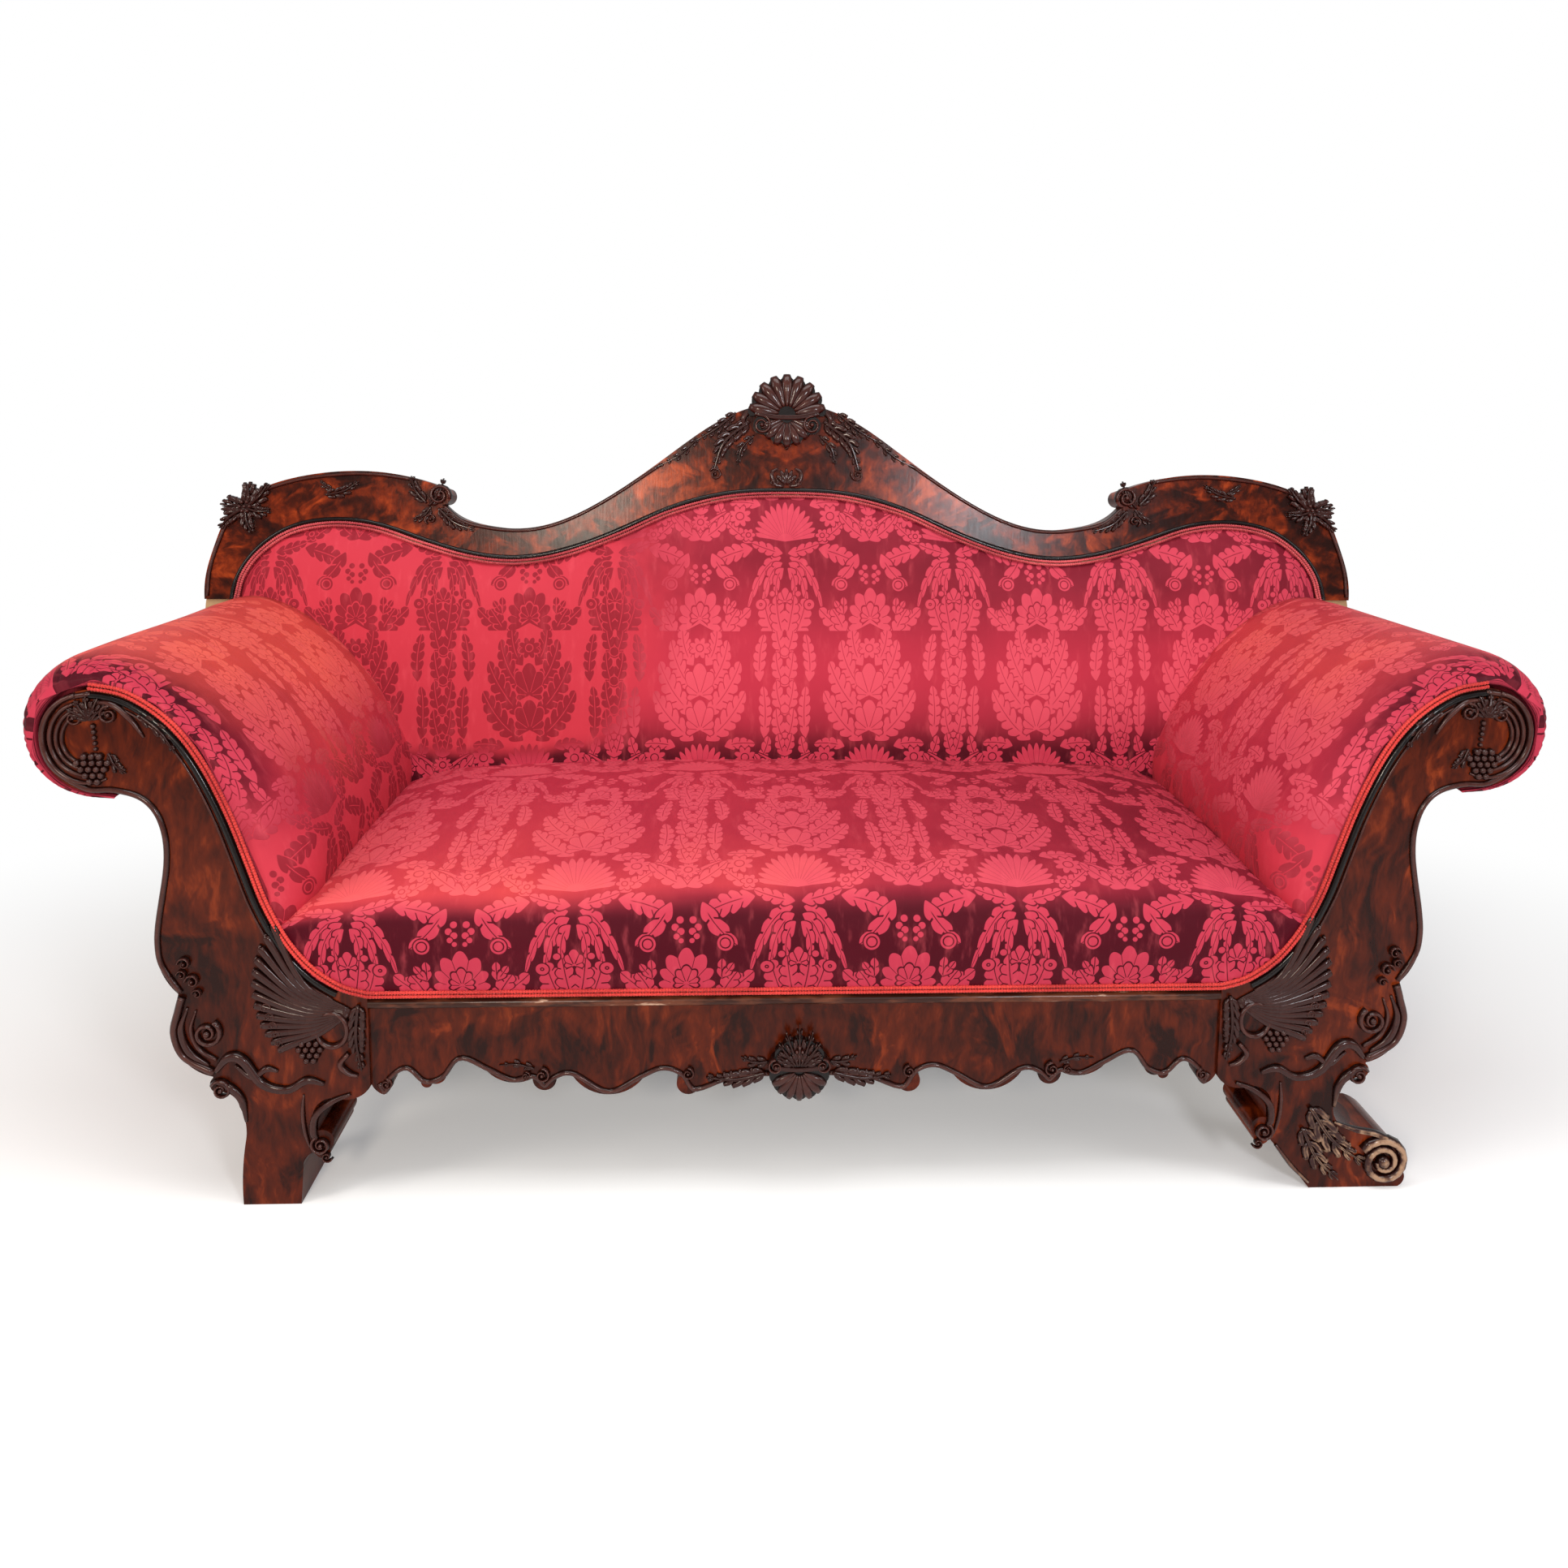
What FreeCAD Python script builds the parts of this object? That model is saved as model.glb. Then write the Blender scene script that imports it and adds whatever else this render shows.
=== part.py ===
import FreeCAD, Part
import math
import os

os.makedirs("parts", exist_ok=True)
V = FreeCAD.Vector

# Millimetres. X runs along the sofa, -Y is the front, Z is up. The facings' front faces lie at y = 0
# while drawing; each piece is saved with the middle of the sofa's depth at y = 0.
centre_y = 346

# Seat frame
apron_half = 612
apron_front_y = 6
apron_back_y = 36
apron_top_z = 300
rail_bottom_z = 205
rail_top_z = 305
front_rail_depth = 44
moulding_radius = 7
facing_thickness = 36
knee_bottom_z = 194
post_inner_x = 705
post_outer_x = 808
post_depth = 64
post_top_z = 400
side_rail_outer_x = 866
side_rail_top_z = 322
foot_depth = 105
rear_leg_inner_x = 840
rear_leg_outer_x = 892
rear_leg_foot_y = 642
rear_leg_foot = 44
cross_rail_width = 50
block_leg = 90
screw_radius = 2.5
screw_length = 62

# Back frame, drawn flat and then leant back about its foot line
back_y = 608
back_pivot_z = 570
back_lean = 6
frame_proud = 8
frame_back = 38
tack_band = 25
crest_joint_x = 643
crest_notch_z = 963
stile_top_z = 786
stay_rail_bottom_z = 345
stay_rail_top_z = 400
stay_rail_half = 842
upright_width = 45
upright_x = 420

# Upholstery
cover = 4
gimp_radius = 5.5
gimp_offset = 6
bead_radius = 5
bead_offset = 8
roll_x = 985
roll_z = 702
arm_rail_radius = 42
stay_x = 745
stay_width = 45
stay_bottom_z = 350
strap_width = 50
strap = 2
spring_radius = 40
spring_wire = 2
spring_turns = 4
spring_top_z = 392

# Shape points (x, z) of the right-hand side, mirrored for the left
facing_inner = [(612, 312), (650, 324), (690, 352), (724, 394), (752, 450), (772, 510),
                (795, 578), (822, 640), (850, 686), (882, 720), (925, 747), (968, 756)]
facing_waist = [(945, 611), (912, 601), (893, 580), (884, 548), (884, 512), (891, 470),
                (899, 430), (903, 394), (898, 360), (874, 320)]
knee_lobe = [(880, 298), (888, 262), (874, 224), (832, 196)]
opening = [(0, 997), (110, 991), (220, 963), (320, 919), (420, 883), (505, 869), (590, 877),
           (680, 903), (765, 931), (846, 939), (925, 924), (985, 885), (1021, 838), (1036, 786)]
crest_top = [(643, 963), (605, 936), (560, 924), (505, 919), (455, 925), (400, 944), (330, 982),
             (213, 1064), (121, 1126), (60, 1150)]
shoulder_top = [(655, 1000), (710, 1016), (820, 1025), (908, 1014), (985, 988), (1035, 948),
                (1062, 890), (1078, 838), (1082, 786)]
stile_outer = [(1082, 740), (1060, 680), (1005, 620), (935, 560), (905, 490), (897, 400), (893, 300)]
stile_inner = [(950, 748), (928, 640), (880, 530), (842, 430), (840, 150)]
arm_side = [(968, 800), (900, 777), (836, 732), (790, 684), (748, 629), (714, 565), (692, 505), (690, 435)]
outside_back = [(0, 1118), (90, 1106), (167, 1068), (290, 986), (380, 930), (440, 906), (505, 896),
                (600, 915), (670, 962), (740, 992), (820, 1000), (900, 990), (985, 955), (1030, 900),
                (1056, 800), (1050, 720), (985, 630), (915, 560), (885, 480), (874, 380)]

# Arm section: the rim beside the facing, and the full pad behind it
arm_rim = [(738, 400), (752, 445), (768, 505), (790, 575), (818, 642), (846, 690), (880, 726),
           (925, 755), (970, 764), (1015, 752), (1043, 720), (1050, 688), (1042, 652), (1018, 624),
           (985, 608), (945, 603)]
arm_full = [(712, 400), (692, 445), (693, 505), (716, 565), (748, 627), (790, 682), (836, 730),
            (900, 775), (968, 798), (1030, 788), (1072, 752), (1085, 705), (1073, 655), (1038, 620),
            (990, 606), (948, 604)]
arm_core = [(925, 650), (880, 648), (822, 600), (787, 530), (767, 460), (757, 400)]


def point(p, y=0.0):
    return V(p[0], y, p[1])


def curve(points, y=0.0, start=None, end=None):
    line = Part.BSplineCurve()
    tangents = {}
    if start and end:
        tangents = {"InitialTangent": point(start), "FinalTangent": point(end)}
    line.interpolate(Points=[point(p, y) for p in points], **tangents)
    return line.toShape()


def outline(start, *moves, y=0.0):
    """A closed wire. A move of one point is a line, of two an arc through the first, of more a curve."""
    edges = []
    here = start
    for move in moves + ([start],):
        if len(move) == 1:
            if move[0] != here:
                edges.append(Part.makeLine(point(here, y), point(move[0], y)))
        elif len(move) == 2:
            edges.append(Part.Arc(point(here, y), point(move[0], y), point(move[1], y)).toShape())
        else:
            edges.append(curve([here] + list(move), y))
        here = move[-1]
    return Part.Wire(edges)


def board(wire, front_y, back_y_):
    solid = Part.Face(wire).extrude(V(0, back_y_ - front_y, 0))
    solid.translate(V(0, front_y, 0))
    return solid


def box(x0, x1, y0, y1, z0, z1):
    return Part.makeBox(x1 - x0, y1 - y0, z1 - z0, V(x0, y0, z0))


def mirrored(points):
    return [(-x, z) for x, z in reversed(points)]


def flip(shape):
    return shape.mirror(V(0, 0, 0), V(1, 0, 0))


def lean(shape):
    turned = shape.copy()
    turned.rotate(V(0, back_y, back_pivot_z), V(1, 0, 0), -back_lean)
    return turned


def inset(points, distance):
    """Moves each point sideways from the line, to the right of its direction of travel."""
    moved = []
    for i, (x, z) in enumerate(points):
        ax, az = points[max(i - 1, 0)]
        bx, bz = points[min(i + 1, len(points) - 1)]
        length = math.hypot(bx - ax, bz - az)
        moved.append((x + (bz - az) / length * distance, z - (bx - ax) / length * distance))
    return moved


def sweep(path, radius):
    wire = Part.Wire(path)
    first = path[0] if isinstance(path, list) else path
    at = first.valueAt(first.FirstParameter)
    along = first.tangentAt(first.FirstParameter)
    ring = Part.Wire(Part.makeCircle(radius, at, along))
    return wire.makePipeShell([ring], True, False)


def solids(shape):
    parts = [s for s in shape.Solids if s.Volume > 1.0]
    return parts[0] if len(parts) == 1 else Part.makeCompound(parts)


def save(name, shape):
    moved = solids(shape).copy()
    moved.translate(V(0, -centre_y, 0))
    moved.exportStep("parts/" + name + ".step")


def save_pair(name, right):
    save(name + "_right", right)
    save(name + "_left", flip(right))


# Arm facings: S-scroll boards from the scroll down to the knee
facing_wire = outline(
    (968, 756), [(1040, 688), (985, 614)], facing_waist, knee_lobe,
    [(832, knee_bottom_z)], [(612, knee_bottom_z)], [(612, 312)], facing_inner[1:])
facing = board(facing_wire, 0, facing_thickness)
facing_space = board(facing_wire, -60, facing_thickness)
save_pair("arm_facing", facing)

# Beads up the inner edges of the facings
bead_line = inset(facing_inner[1:], bead_offset)
facing_bead = sweep(curve(bead_line), bead_radius).cut(facing)
save_pair("facing_bead", facing_bead)

# Front apron with its scalloped edge, drawn from the right end to the middle and back up
half_edge = [
    [(604, 167), (595, 162)], [(586, 170), (582, 186)], [(562, 199), (542, 180)], [(535, 172), (526, 178)],
    [(514, 179), (506, 188)], [(484, 213), (447, 195)], [(412, 178), (383, 184)], [(356, 169), (349, 182)],
    [(338, 195), (325, 186)], [(275, 158), (226, 181)], [(197, 194), (172, 185)], [(166, 158), (150, 160)],
    [(95, 180), (38, 183)]]
left_edge = []
for i in range(len(half_edge) - 1, -1, -1):
    start_of_arc = half_edge[i - 1][1] if i else (apron_half, 178)
    left_edge.append([(-half_edge[i][0][0], half_edge[i][0][1]), (-start_of_arc[0], start_of_arc[1])])
apron_wire = outline(
    (apron_half, 178), *half_edge, [(0, 176), (-38, 183)], *left_edge,
    [(-apron_half, apron_top_z)], [(apron_half, apron_top_z)])
apron = board(apron_wire, apron_front_y, apron_back_y)
save("front_apron", apron)


def fan(centre_z, radius, lobes, first_angle):
    """Arcs of a scalloped half-round, anticlockwise from the angle given."""
    arcs = []
    for i in range(lobes):
        middle = math.radians(first_angle + 180 * (i + 0.5) / lobes)
        end = math.radians(first_angle + 180 * (i + 1) / lobes)
        arcs.append([(radius * math.cos(middle), centre_z + radius * math.sin(middle)),
                     (radius * 0.93 * math.cos(end), centre_z + radius * 0.93 * math.sin(end))])
    return arcs


# Carved shell at the middle of the apron
lower_fan = fan(198, 44, 7, 180)
upper_fan = fan(204, 42, 7, 0)
shell_wire = outline((44 * 0.93, 204), *upper_fan, [(-44 * 0.93, 198)], *lower_fan)
apron_shell = board(shell_wire, -8, 22).cut(apron)
save("apron_shell", apron_shell)

# Frame of the seat: rails, posts, cross rail
front_rail = box(-post_inner_x, post_inner_x, apron_back_y, apron_back_y + front_rail_depth,
                 rail_bottom_z, rail_top_z)
back_frame_space = lean(box(-1500, 1500, back_y, back_y + 300, -200, 1500))
post = box(post_inner_x, post_outer_x, facing_thickness, facing_thickness + post_depth,
           knee_bottom_z, post_top_z)
side_rail = box(post_outer_x, side_rail_outer_x, facing_thickness, back_y, rail_bottom_z, side_rail_top_z)
side_rail = side_rail.cut(back_frame_space)
back_rail = lean(box(-rear_leg_inner_x, rear_leg_inner_x, back_y, back_y + frame_back,
                     rail_bottom_z, rail_top_z))
inner_front_y = apron_back_y + front_rail_depth
cross_rail = box(-cross_rail_width / 2, cross_rail_width / 2, inner_front_y, back_y,
                 rail_bottom_z + 20, rail_top_z - 5)
cross_rail = cross_rail.cut(back_frame_space)

# Corner blocks with their screws: two against the front rail, two against the back rail
back_inner_y = back_y + (rail_bottom_z + 40 - back_pivot_z) * math.tan(math.radians(back_lean))
blocks = []
screws = []
for side in (-1, 1):
    corners = [(post_inner_x, inner_front_y, -1, 1), (post_outer_x, back_inner_y - 4, -1, -1)]
    for x, y, way_x, way_y in corners:
        a = V(side * x, y, rail_bottom_z + 10)
        b = V(side * (x + way_x * block_leg), y, rail_bottom_z + 10)
        c = V(side * x, y + way_y * block_leg, rail_bottom_z + 10)
        block = Part.Face(Part.makePolygon([a, b, c, a])).extrude(V(0, 0, 60))
        for height in (20, 42):
            start = V(side * (x + way_x * 42), y + way_y * 42, rail_bottom_z + 10 + height)
            screw = Part.makeCylinder(screw_radius, screw_length, start, V(0, -way_y, 0))
            head = Part.makeCone(2.2 * screw_radius, screw_radius, 3.5, start, V(0, -way_y, 0))
            screws.append(screw.fuse(head))
        blocks.append(block)
screw_group = Part.makeCompound(screws)
corner_blocks = Part.makeCompound(blocks).cut(screw_group).cut(back_frame_space)
save("corner_blocks", corner_blocks)
save("block_screws", screw_group)
front_rail = front_rail.cut(screw_group)
back_rail = back_rail.cut(screw_group)
save("front_rail", front_rail)
save("back_rail", back_rail)
save("seat_cross_rail", cross_rail)
save_pair("front_post", post)
save_pair("side_rail", side_rail)

# Half-round moulding along the top of the apron
rail_moulding = Part.makeCylinder(moulding_radius, 2 * apron_half,
                                  V(-apron_half, apron_front_y, apron_top_z), V(1, 0, 0))
rail_moulding = rail_moulding.cut(apron).cut(box(-700, 700, apron_front_y, 60, 290, 320))
save("rail_moulding", rail_moulding)

# Front feet. The right one keeps its scroll toe, the left one ends in its plain block.
upper_foot = [[(837, 183), (830, 172)], [(808, 168), (797, 150)]]
inner_foot = [[(684, 70), (672, 84)], [(668, 104), (688, 112)], [(694, 140), (660, 161)],
              [(628, 163), (612, 178)]]
right_foot = outline(
    (832, knee_bottom_z), *upper_foot, [(788, 120), (795, 104)], [(820, 92), (856, 86)],
    [(886, 66), (899, 24)], [(899, 6), (892, 0)], [(758, 0)], [(694, 80)], *inner_foot,
    [(apron_half, knee_bottom_z)])
left_foot = outline(
    (832, knee_bottom_z), *upper_foot, [(789, 118), (791, 96)], [(797, 50), (798, 0)], [(716, 0)],
    [(711, 56)], [(704, 74), (694, 80)], *inner_foot, [(apron_half, knee_bottom_z)])
save("front_foot_right", board(right_foot, 0, foot_depth))
save("front_foot_left", flip(board(left_foot, 0, foot_depth)))

# Back frame: crest, shoulders and stiles
full_opening = mirrored(opening)[:-1] + opening
through = inset(full_opening, tack_band)
through_wire = outline(through[0], through[1:], [(through[-1][0], 700)], [(through[0][0], 700)])
through_space = board(through_wire, back_y - 50, back_y + 100)
rebate_wire = outline(full_opening[0], full_opening[1:], [(1036, 700)], [(-1036, 700)])
rebate_space = board(rebate_wire, back_y - 50, back_y)
frame_front = back_y - frame_proud
frame_rear = back_y + frame_back
crest_line = crest_top[1:] + [(0, 1157)] + mirrored(crest_top)
crest_wire = outline((crest_joint_x, 840), [(crest_joint_x, crest_notch_z)], crest_line,
                     [(-crest_joint_x, 840)])
crest = lean(board(crest_wire, frame_front, frame_rear).cut(through_space).cut(rebate_space))
save("crest_rail", crest)
shoulder_wire = outline((crest_joint_x, 840), [(crest_joint_x, crest_notch_z)],
                        [(627, 976), (633, 992)], shoulder_top, [(900, stile_top_z)])
shoulder = lean(board(shoulder_wire, frame_front, frame_rear).cut(through_space).cut(rebate_space))
save_pair("back_shoulder", shoulder)
stile_wire = outline((1082, stile_top_z), stile_outer, [(893, 150)], [stile_inner[-1]], [stile_inner[-2]],
                     [stile_inner[-3]], [stile_inner[-4]], [stile_inner[0]], [(1011, stile_top_z)])
floor_of_stile = box(-1500, 1500, 300, 900, -100, rail_bottom_z - 5)
stile = lean(board(stile_wire, back_y, frame_rear)).cut(floor_of_stile)
save_pair("back_stile", stile)
leg_top_y = back_y + (rail_bottom_z - 5 - back_pivot_z) * math.tan(math.radians(back_lean))
rear_leg_ends = [
    (rear_leg_inner_x + 1, rear_leg_outer_x, leg_top_y, leg_top_y + frame_back, rail_bottom_z - 5),
    (rear_leg_inner_x + 4, rear_leg_inner_x + 4 + rear_leg_foot,
     rear_leg_foot_y, rear_leg_foot_y + rear_leg_foot, 0)]
rear_leg = Part.makeLoft(
    [Part.makePolygon([V(x0, y0, z), V(x1, y0, z), V(x1, y1, z), V(x0, y1, z), V(x0, y0, z)])
     for x0, x1, y0, y1, z in rear_leg_ends], True, True)
save_pair("rear_leg", rear_leg)
stay_rail = lean(box(-stay_rail_half, stay_rail_half, back_y, back_y + 30, stay_rail_bottom_z,
                     stay_rail_top_z)).cut(stile).cut(flip(stile))
save("back_stay_rail", stay_rail)
upright_wire = outline(through[0], through[1:], [(through[-1][0], stay_rail_top_z)],
                       [(through[0][0], stay_rail_top_z)])
upright_space = board(upright_wire, back_y + 4, back_y + 34)
uprights = [box(x - upright_width / 2, x + upright_width / 2, back_y, frame_rear, stay_rail_top_z, 1100)
            for x in (-upright_x, 0, upright_x)]
upright_group = Part.makeCompound([lean(u.common(upright_space)) for u in uprights])
save("back_uprights", upright_group)

# Carved shell with two volutes on the crest
top_fan = fan(1131, 74, 9, 0)
low_fan = fan(1131, 54, 7, 180)
crest_shell_wire = outline((74 * 0.93, 1131), *top_fan, [(-54 * 0.93, 1131)], *low_fan)
crest_shell = board(crest_shell_wire, frame_front - 16, back_y + 18)
for side in (-1, 1):
    volute = Part.makeCylinder(17, 14, V(side * 46, frame_front - 14, 1114), V(0, 1, 0))
    crest_shell = crest_shell.fuse(volute)
crest_shell = lean(crest_shell).cut(crest)
save("crest_shell", crest_shell)


# Seat upholstery: sections across the seat, each with its crown
seat_sections = [
    # y, half width, bottom, edge height, crown height
    (-15, 480, 366, 398, 424), (-13, 530, 358, 402, 434), (-8, 585, 349, 407, 444),
    (-1.8, 648, 338, 413, 453), (-1.5, 738, 306, 416, 455), (6, 738, 306, 419, 461),
    (22, 724, 306, 428, 471), (60, 704, 306, 438, 482), (120, 700, 306, 444, 492),
    (220, 700, 306, 450, 500), (340, 700, 306, 454, 504), (460, 700, 306, 454, 502),
    (600, 700, 306, 450, 490)]


def seat_body(less):
    wires = []
    for y, half, bottom, edge, crown in seat_sections:
        half = half - less
        bottom = bottom + (less if y < -1.6 else -3 * less)
        edge = edge - less
        crown = crown - less
        y = y + (less if y < 100 else 0)
        shoulder_z = crown - 0.3 * (crown - edge)
        top = [(half * 0.82, shoulder_z), (0, crown), (-half * 0.82, shoulder_z), (-half, edge)]
        wires.append(outline((half, edge), top, [(-half, bottom)], [(half, bottom)], y=y))
    return Part.makeLoft(wires, True, True)


def arm_body(less):
    wires = []
    for y in (-2, 1, 7, 17, 32, 54, 90, 640):
        t = min((y + 2) / 92, 1.0)
        swell = math.sqrt(1 - (1 - t) ** 2)
        section = [(a[0] + (b[0] - a[0]) * swell, a[1] + (b[1] - a[1]) * swell)
                   for a, b in zip(arm_rim, arm_full)]
        core = list(arm_core)
        if less:
            section = inset(section, less)
            core = [(x + 2 * less, z - less) for x, z in core]
            y = y + (less if y < 100 else 10)
        wires.append(outline(section[0], section[1:], *[[p] for p in core], y=y))
    return Part.makeLoft(wires, True, True)


def back_body(less):
    wires = []
    steps = [(0, 9, 1.0), (-6, 9, 1.0), (-13, 15, 0.995), (-21, 22, 0.97), (-29, 24, 0.92), (-35, 24, 0.84),
             (-39, 24, 0.7), (-41, 24, 0.45)]
    for w, edge, share in steps:
        if less:
            w = w + less if w else 2 * less
            edge = edge + less
        upper = inset(full_opening, edge)
        side = [upper[-1]] + [(x - less, z) for x, z in arm_side]
        other = mirrored(side)
        ring = [upper, side, other]
        ring = [[(x * share, 700 + (z - 700) * share) for x, z in line] for line in ring]
        wires.append(outline(ring[0][0], ring[0][1:], ring[1][1:], [ring[2][0]], ring[2][1:],
                             y=back_y + w))
    return lean(Part.makeLoft(wires, True, True))


seat_outer = seat_body(0)
arm_outer = arm_body(0)
back_outer = back_body(0)
post_pair = post.fuse(flip(post))
facing_pair = facing_space.fuse(flip(facing_space))
back_webbing_space = lean(box(-1500, 1500, back_y - strap, back_y + 300, -200, 1500))
seat_outer = seat_outer.cut(facing_pair).cut(back_outer).cut(back_webbing_space).cut(post_pair)
seat_outer = seat_outer.cut(rail_moulding)
seat_inner = seat_body(cover)
seat_cover = seat_outer.cut(seat_inner).cut(box(-800, 800, 37, 700, 200, 322))
save("seat_cover", seat_cover)
spring_well = box(-640, 640, inner_front_y, 540, 300, spring_top_z + 4)
seat_stuffing = seat_inner.common(seat_outer).cut(spring_well)
save("seat_stuffing", seat_stuffing)

# Seat suspension: webbing, springs and canvas
straps = []
for i in range(12):
    x = (i - 5.5) * 112
    straps.append(box(x - strap_width / 2, x + strap_width / 2, apron_back_y + 6, back_inner_y - 2,
                      rail_bottom_z - strap, rail_bottom_z))
for i in range(4):
    y = 140 + i * 115
    straps.append(box(-post_outer_x, post_outer_x, y - strap_width / 2, y + strap_width / 2,
                      rail_bottom_z - 2 * strap, rail_bottom_z - strap))
save("seat_webbing", Part.makeCompound(straps))
spring_height = spring_top_z - rail_bottom_z - 2 * spring_wire
spring_sections = []
for i in range(8 * spring_turns + 1):
    angle = math.radians(45 * i)
    out = V(math.cos(angle), math.sin(angle), 0)
    at = out * spring_radius + V(0, 0, spring_height * i / (8 * spring_turns))
    corners = [at + out * (spring_wire * a) + V(0, 0, spring_wire * b)
               for a, b in ((-1, -1), (1, -1), (1, 1), (-1, 1), (-1, -1))]
    spring_sections.append(Part.makePolygon(corners))
spring = Part.makeLoft(spring_sections, True, True)
springs = []
for column in range(8):
    for row in range(3):
        one = spring.copy()
        one.translate(V((column - 3.5) * 158, 150 + row * 150, rail_bottom_z + spring_wire))
        springs.append(one)
save("seat_springs", Part.makeCompound(springs))
save("spring_canvas", box(-638, 638, inner_front_y + 2, 538, spring_top_z + 1, spring_top_z + 3))
save("dust_cover", box(-post_inner_x, post_inner_x, apron_back_y + 4, back_inner_y,
                       rail_bottom_z - 2 * strap - 1, rail_bottom_z - 2 * strap))

# Arms: rail, stay rail, webbing, stuffing, cover and outside cover
arm_rail = Part.makeCylinder(arm_rail_radius, 620, V(roll_x, facing_thickness, roll_z), V(0, 1, 0))
arm_rail = arm_rail.cut(back_frame_space)
save_pair("arm_top_rail", arm_rail)
arm_stay = box(stay_x, stay_x + stay_width, facing_thickness + post_depth, back_y, stay_bottom_z, 400)
arm_stay = arm_stay.cut(back_frame_space)
save_pair("arm_stay_rail", arm_stay)
arm_outer = arm_outer.cut(facing_space).cut(back_webbing_space).cut(seat_outer).cut(post).cut(shoulder)
arm_inner = arm_body(cover)
arm_cover = arm_outer.cut(arm_inner)
arm_stuffing = arm_outer.common(arm_inner).cut(arm_rail)
save_pair("arm_cover", arm_cover)
save_pair("arm_stuffing", arm_stuffing)
web_line = [(stay_x + 12, 400), (769, 460), (789, 530), (824, 598), (882, 646), (925, 648)]
web_wire = outline(web_line[0], *[[p] for p in web_line[1:]],
                   *[[(x + 2, z - 3)] for x, z in reversed(web_line)])
arm_straps = [board(web_wire, 110 + i * 95, 160 + i * 95) for i in range(5)]
save_pair("arm_webbing", Part.makeCompound(arm_straps).cut(arm_outer).cut(arm_rail).cut(arm_stay))
outside_line = [(938, 604), (907, 595), (888, 574), (879, 546), (879, 512), (886, 470), (894, 430),
                (898, 394), (893, 360), (869, 321)]
outside_wire = outline(outside_line[0], outside_line[1:], [(side_rail_outer_x, 321)],
                       [(889, 360), (894, 394), (890, 430), (882, 470), (875, 512), (875, 546), (884, 576),
                        (904, 599), (936, 608)])
outside_cover = board(outside_wire, facing_thickness, back_y).cut(back_frame_space).cut(arm_outer)
save_pair("outside_arm_cover", outside_cover)

# Back: webbing, stuffing, covers, bead and gimp
back_inner = back_body(cover)
back_outer = back_outer.cut(arm_outer).cut(flip(arm_outer))
back_cover = back_outer.cut(back_inner)
back_straps = []
pad_wire = outline(through[0], inset(full_opening, 12)[1:-1] + [through[-1]], [(through[-1][0], 700)],
                   [(690, 440)], [(690, 352)], [(-690, 352)], [(-690, 440)], [(through[0][0], 700)])
for i in range(13):
    x = (i - 6) * 118
    strip = box(x - strap_width / 2, x + strap_width / 2, back_y - strap, back_y, 352, 1000)
    back_straps.append(lean(strip.common(board(pad_wire, back_y - 10, back_y + 10))))
back_webbing = Part.makeCompound(back_straps)
save("back_webbing", back_webbing)
back_cover = back_cover.cut(back_webbing)
save("back_cover", back_cover)
back_stuffing = back_outer.common(back_inner).cut(back_webbing)
save("back_stuffing", back_stuffing)
back_bead_line = inset(full_opening, 4)
back_bead = lean(sweep(curve(back_bead_line, back_y - 7), 4.5)).cut(crest).cut(shoulder).cut(flip(shoulder))
back_bead = back_bead.cut(back_outer).cut(arm_outer).cut(flip(arm_outer))
save("back_bead", back_bead)
back_gimp = lean(sweep(curve(inset(full_opening, 14), back_y - 13), 5)).cut(back_outer)
back_gimp = back_gimp.cut(arm_outer).cut(flip(arm_outer)).cut(back_bead)
save("back_gimp", back_gimp)
outside_ring = mirrored(outside_back)[:-1] + outside_back
outside_wire = outline(outside_ring[0], outside_ring[1:], [(874, 212)], [(-874, 212)])
save("outside_back_cover", lean(board(outside_wire, frame_rear, frame_rear + 3)))

# Gimp up both arms and along the front of the seat, flat at the back
gimp_side = inset(facing_inner, -gimp_offset)
gimp_y = -3
right_run = curve(gimp_side, gimp_y, start=(1, 0), end=(1, 0))
left_run = curve(mirrored(gimp_side), gimp_y, start=(1, 0), end=(1, 0))
level_run = Part.makeLine(point(mirrored(gimp_side)[-1], gimp_y), point(gimp_side[0], gimp_y))
front_gimp = sweep([left_run, level_run, right_run], gimp_radius)
front_gimp = front_gimp.cut(box(-1200, 1200, -2, 40, 200, 900)).cut(facing_bead).cut(flip(facing_bead))
front_gimp = front_gimp.cut(seat_outer)
save("front_gimp", front_gimp)
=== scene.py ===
import math

import bmesh
import bpy
import numpy as np
from mathutils import Matrix, Vector


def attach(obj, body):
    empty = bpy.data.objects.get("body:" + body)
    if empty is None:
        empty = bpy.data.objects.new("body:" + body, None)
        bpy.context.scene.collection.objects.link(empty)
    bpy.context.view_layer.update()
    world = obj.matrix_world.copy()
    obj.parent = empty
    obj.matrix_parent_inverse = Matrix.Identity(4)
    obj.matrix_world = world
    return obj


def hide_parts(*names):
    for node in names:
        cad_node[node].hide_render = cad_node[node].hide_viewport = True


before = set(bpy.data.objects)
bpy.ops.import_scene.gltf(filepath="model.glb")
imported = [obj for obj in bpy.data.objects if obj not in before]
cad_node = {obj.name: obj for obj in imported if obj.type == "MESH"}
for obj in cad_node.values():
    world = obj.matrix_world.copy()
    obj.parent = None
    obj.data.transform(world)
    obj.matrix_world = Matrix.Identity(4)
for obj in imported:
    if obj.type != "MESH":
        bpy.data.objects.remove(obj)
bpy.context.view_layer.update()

# The studio. The camera stands where the photographer stood, a little left of the middle. One large
# soft light hangs overhead, two small ones in front shine in the polish like windows, and one more
# stands at each side.
eye = Vector((-0.0857, -1.9978, 1.1342))
yaw, pitch, roll = math.radians(2.046), math.radians(7.0), math.radians(0.382)
picture_size, focal_pixels, lens_centre_row = 1932, 1500, 694.2
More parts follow.
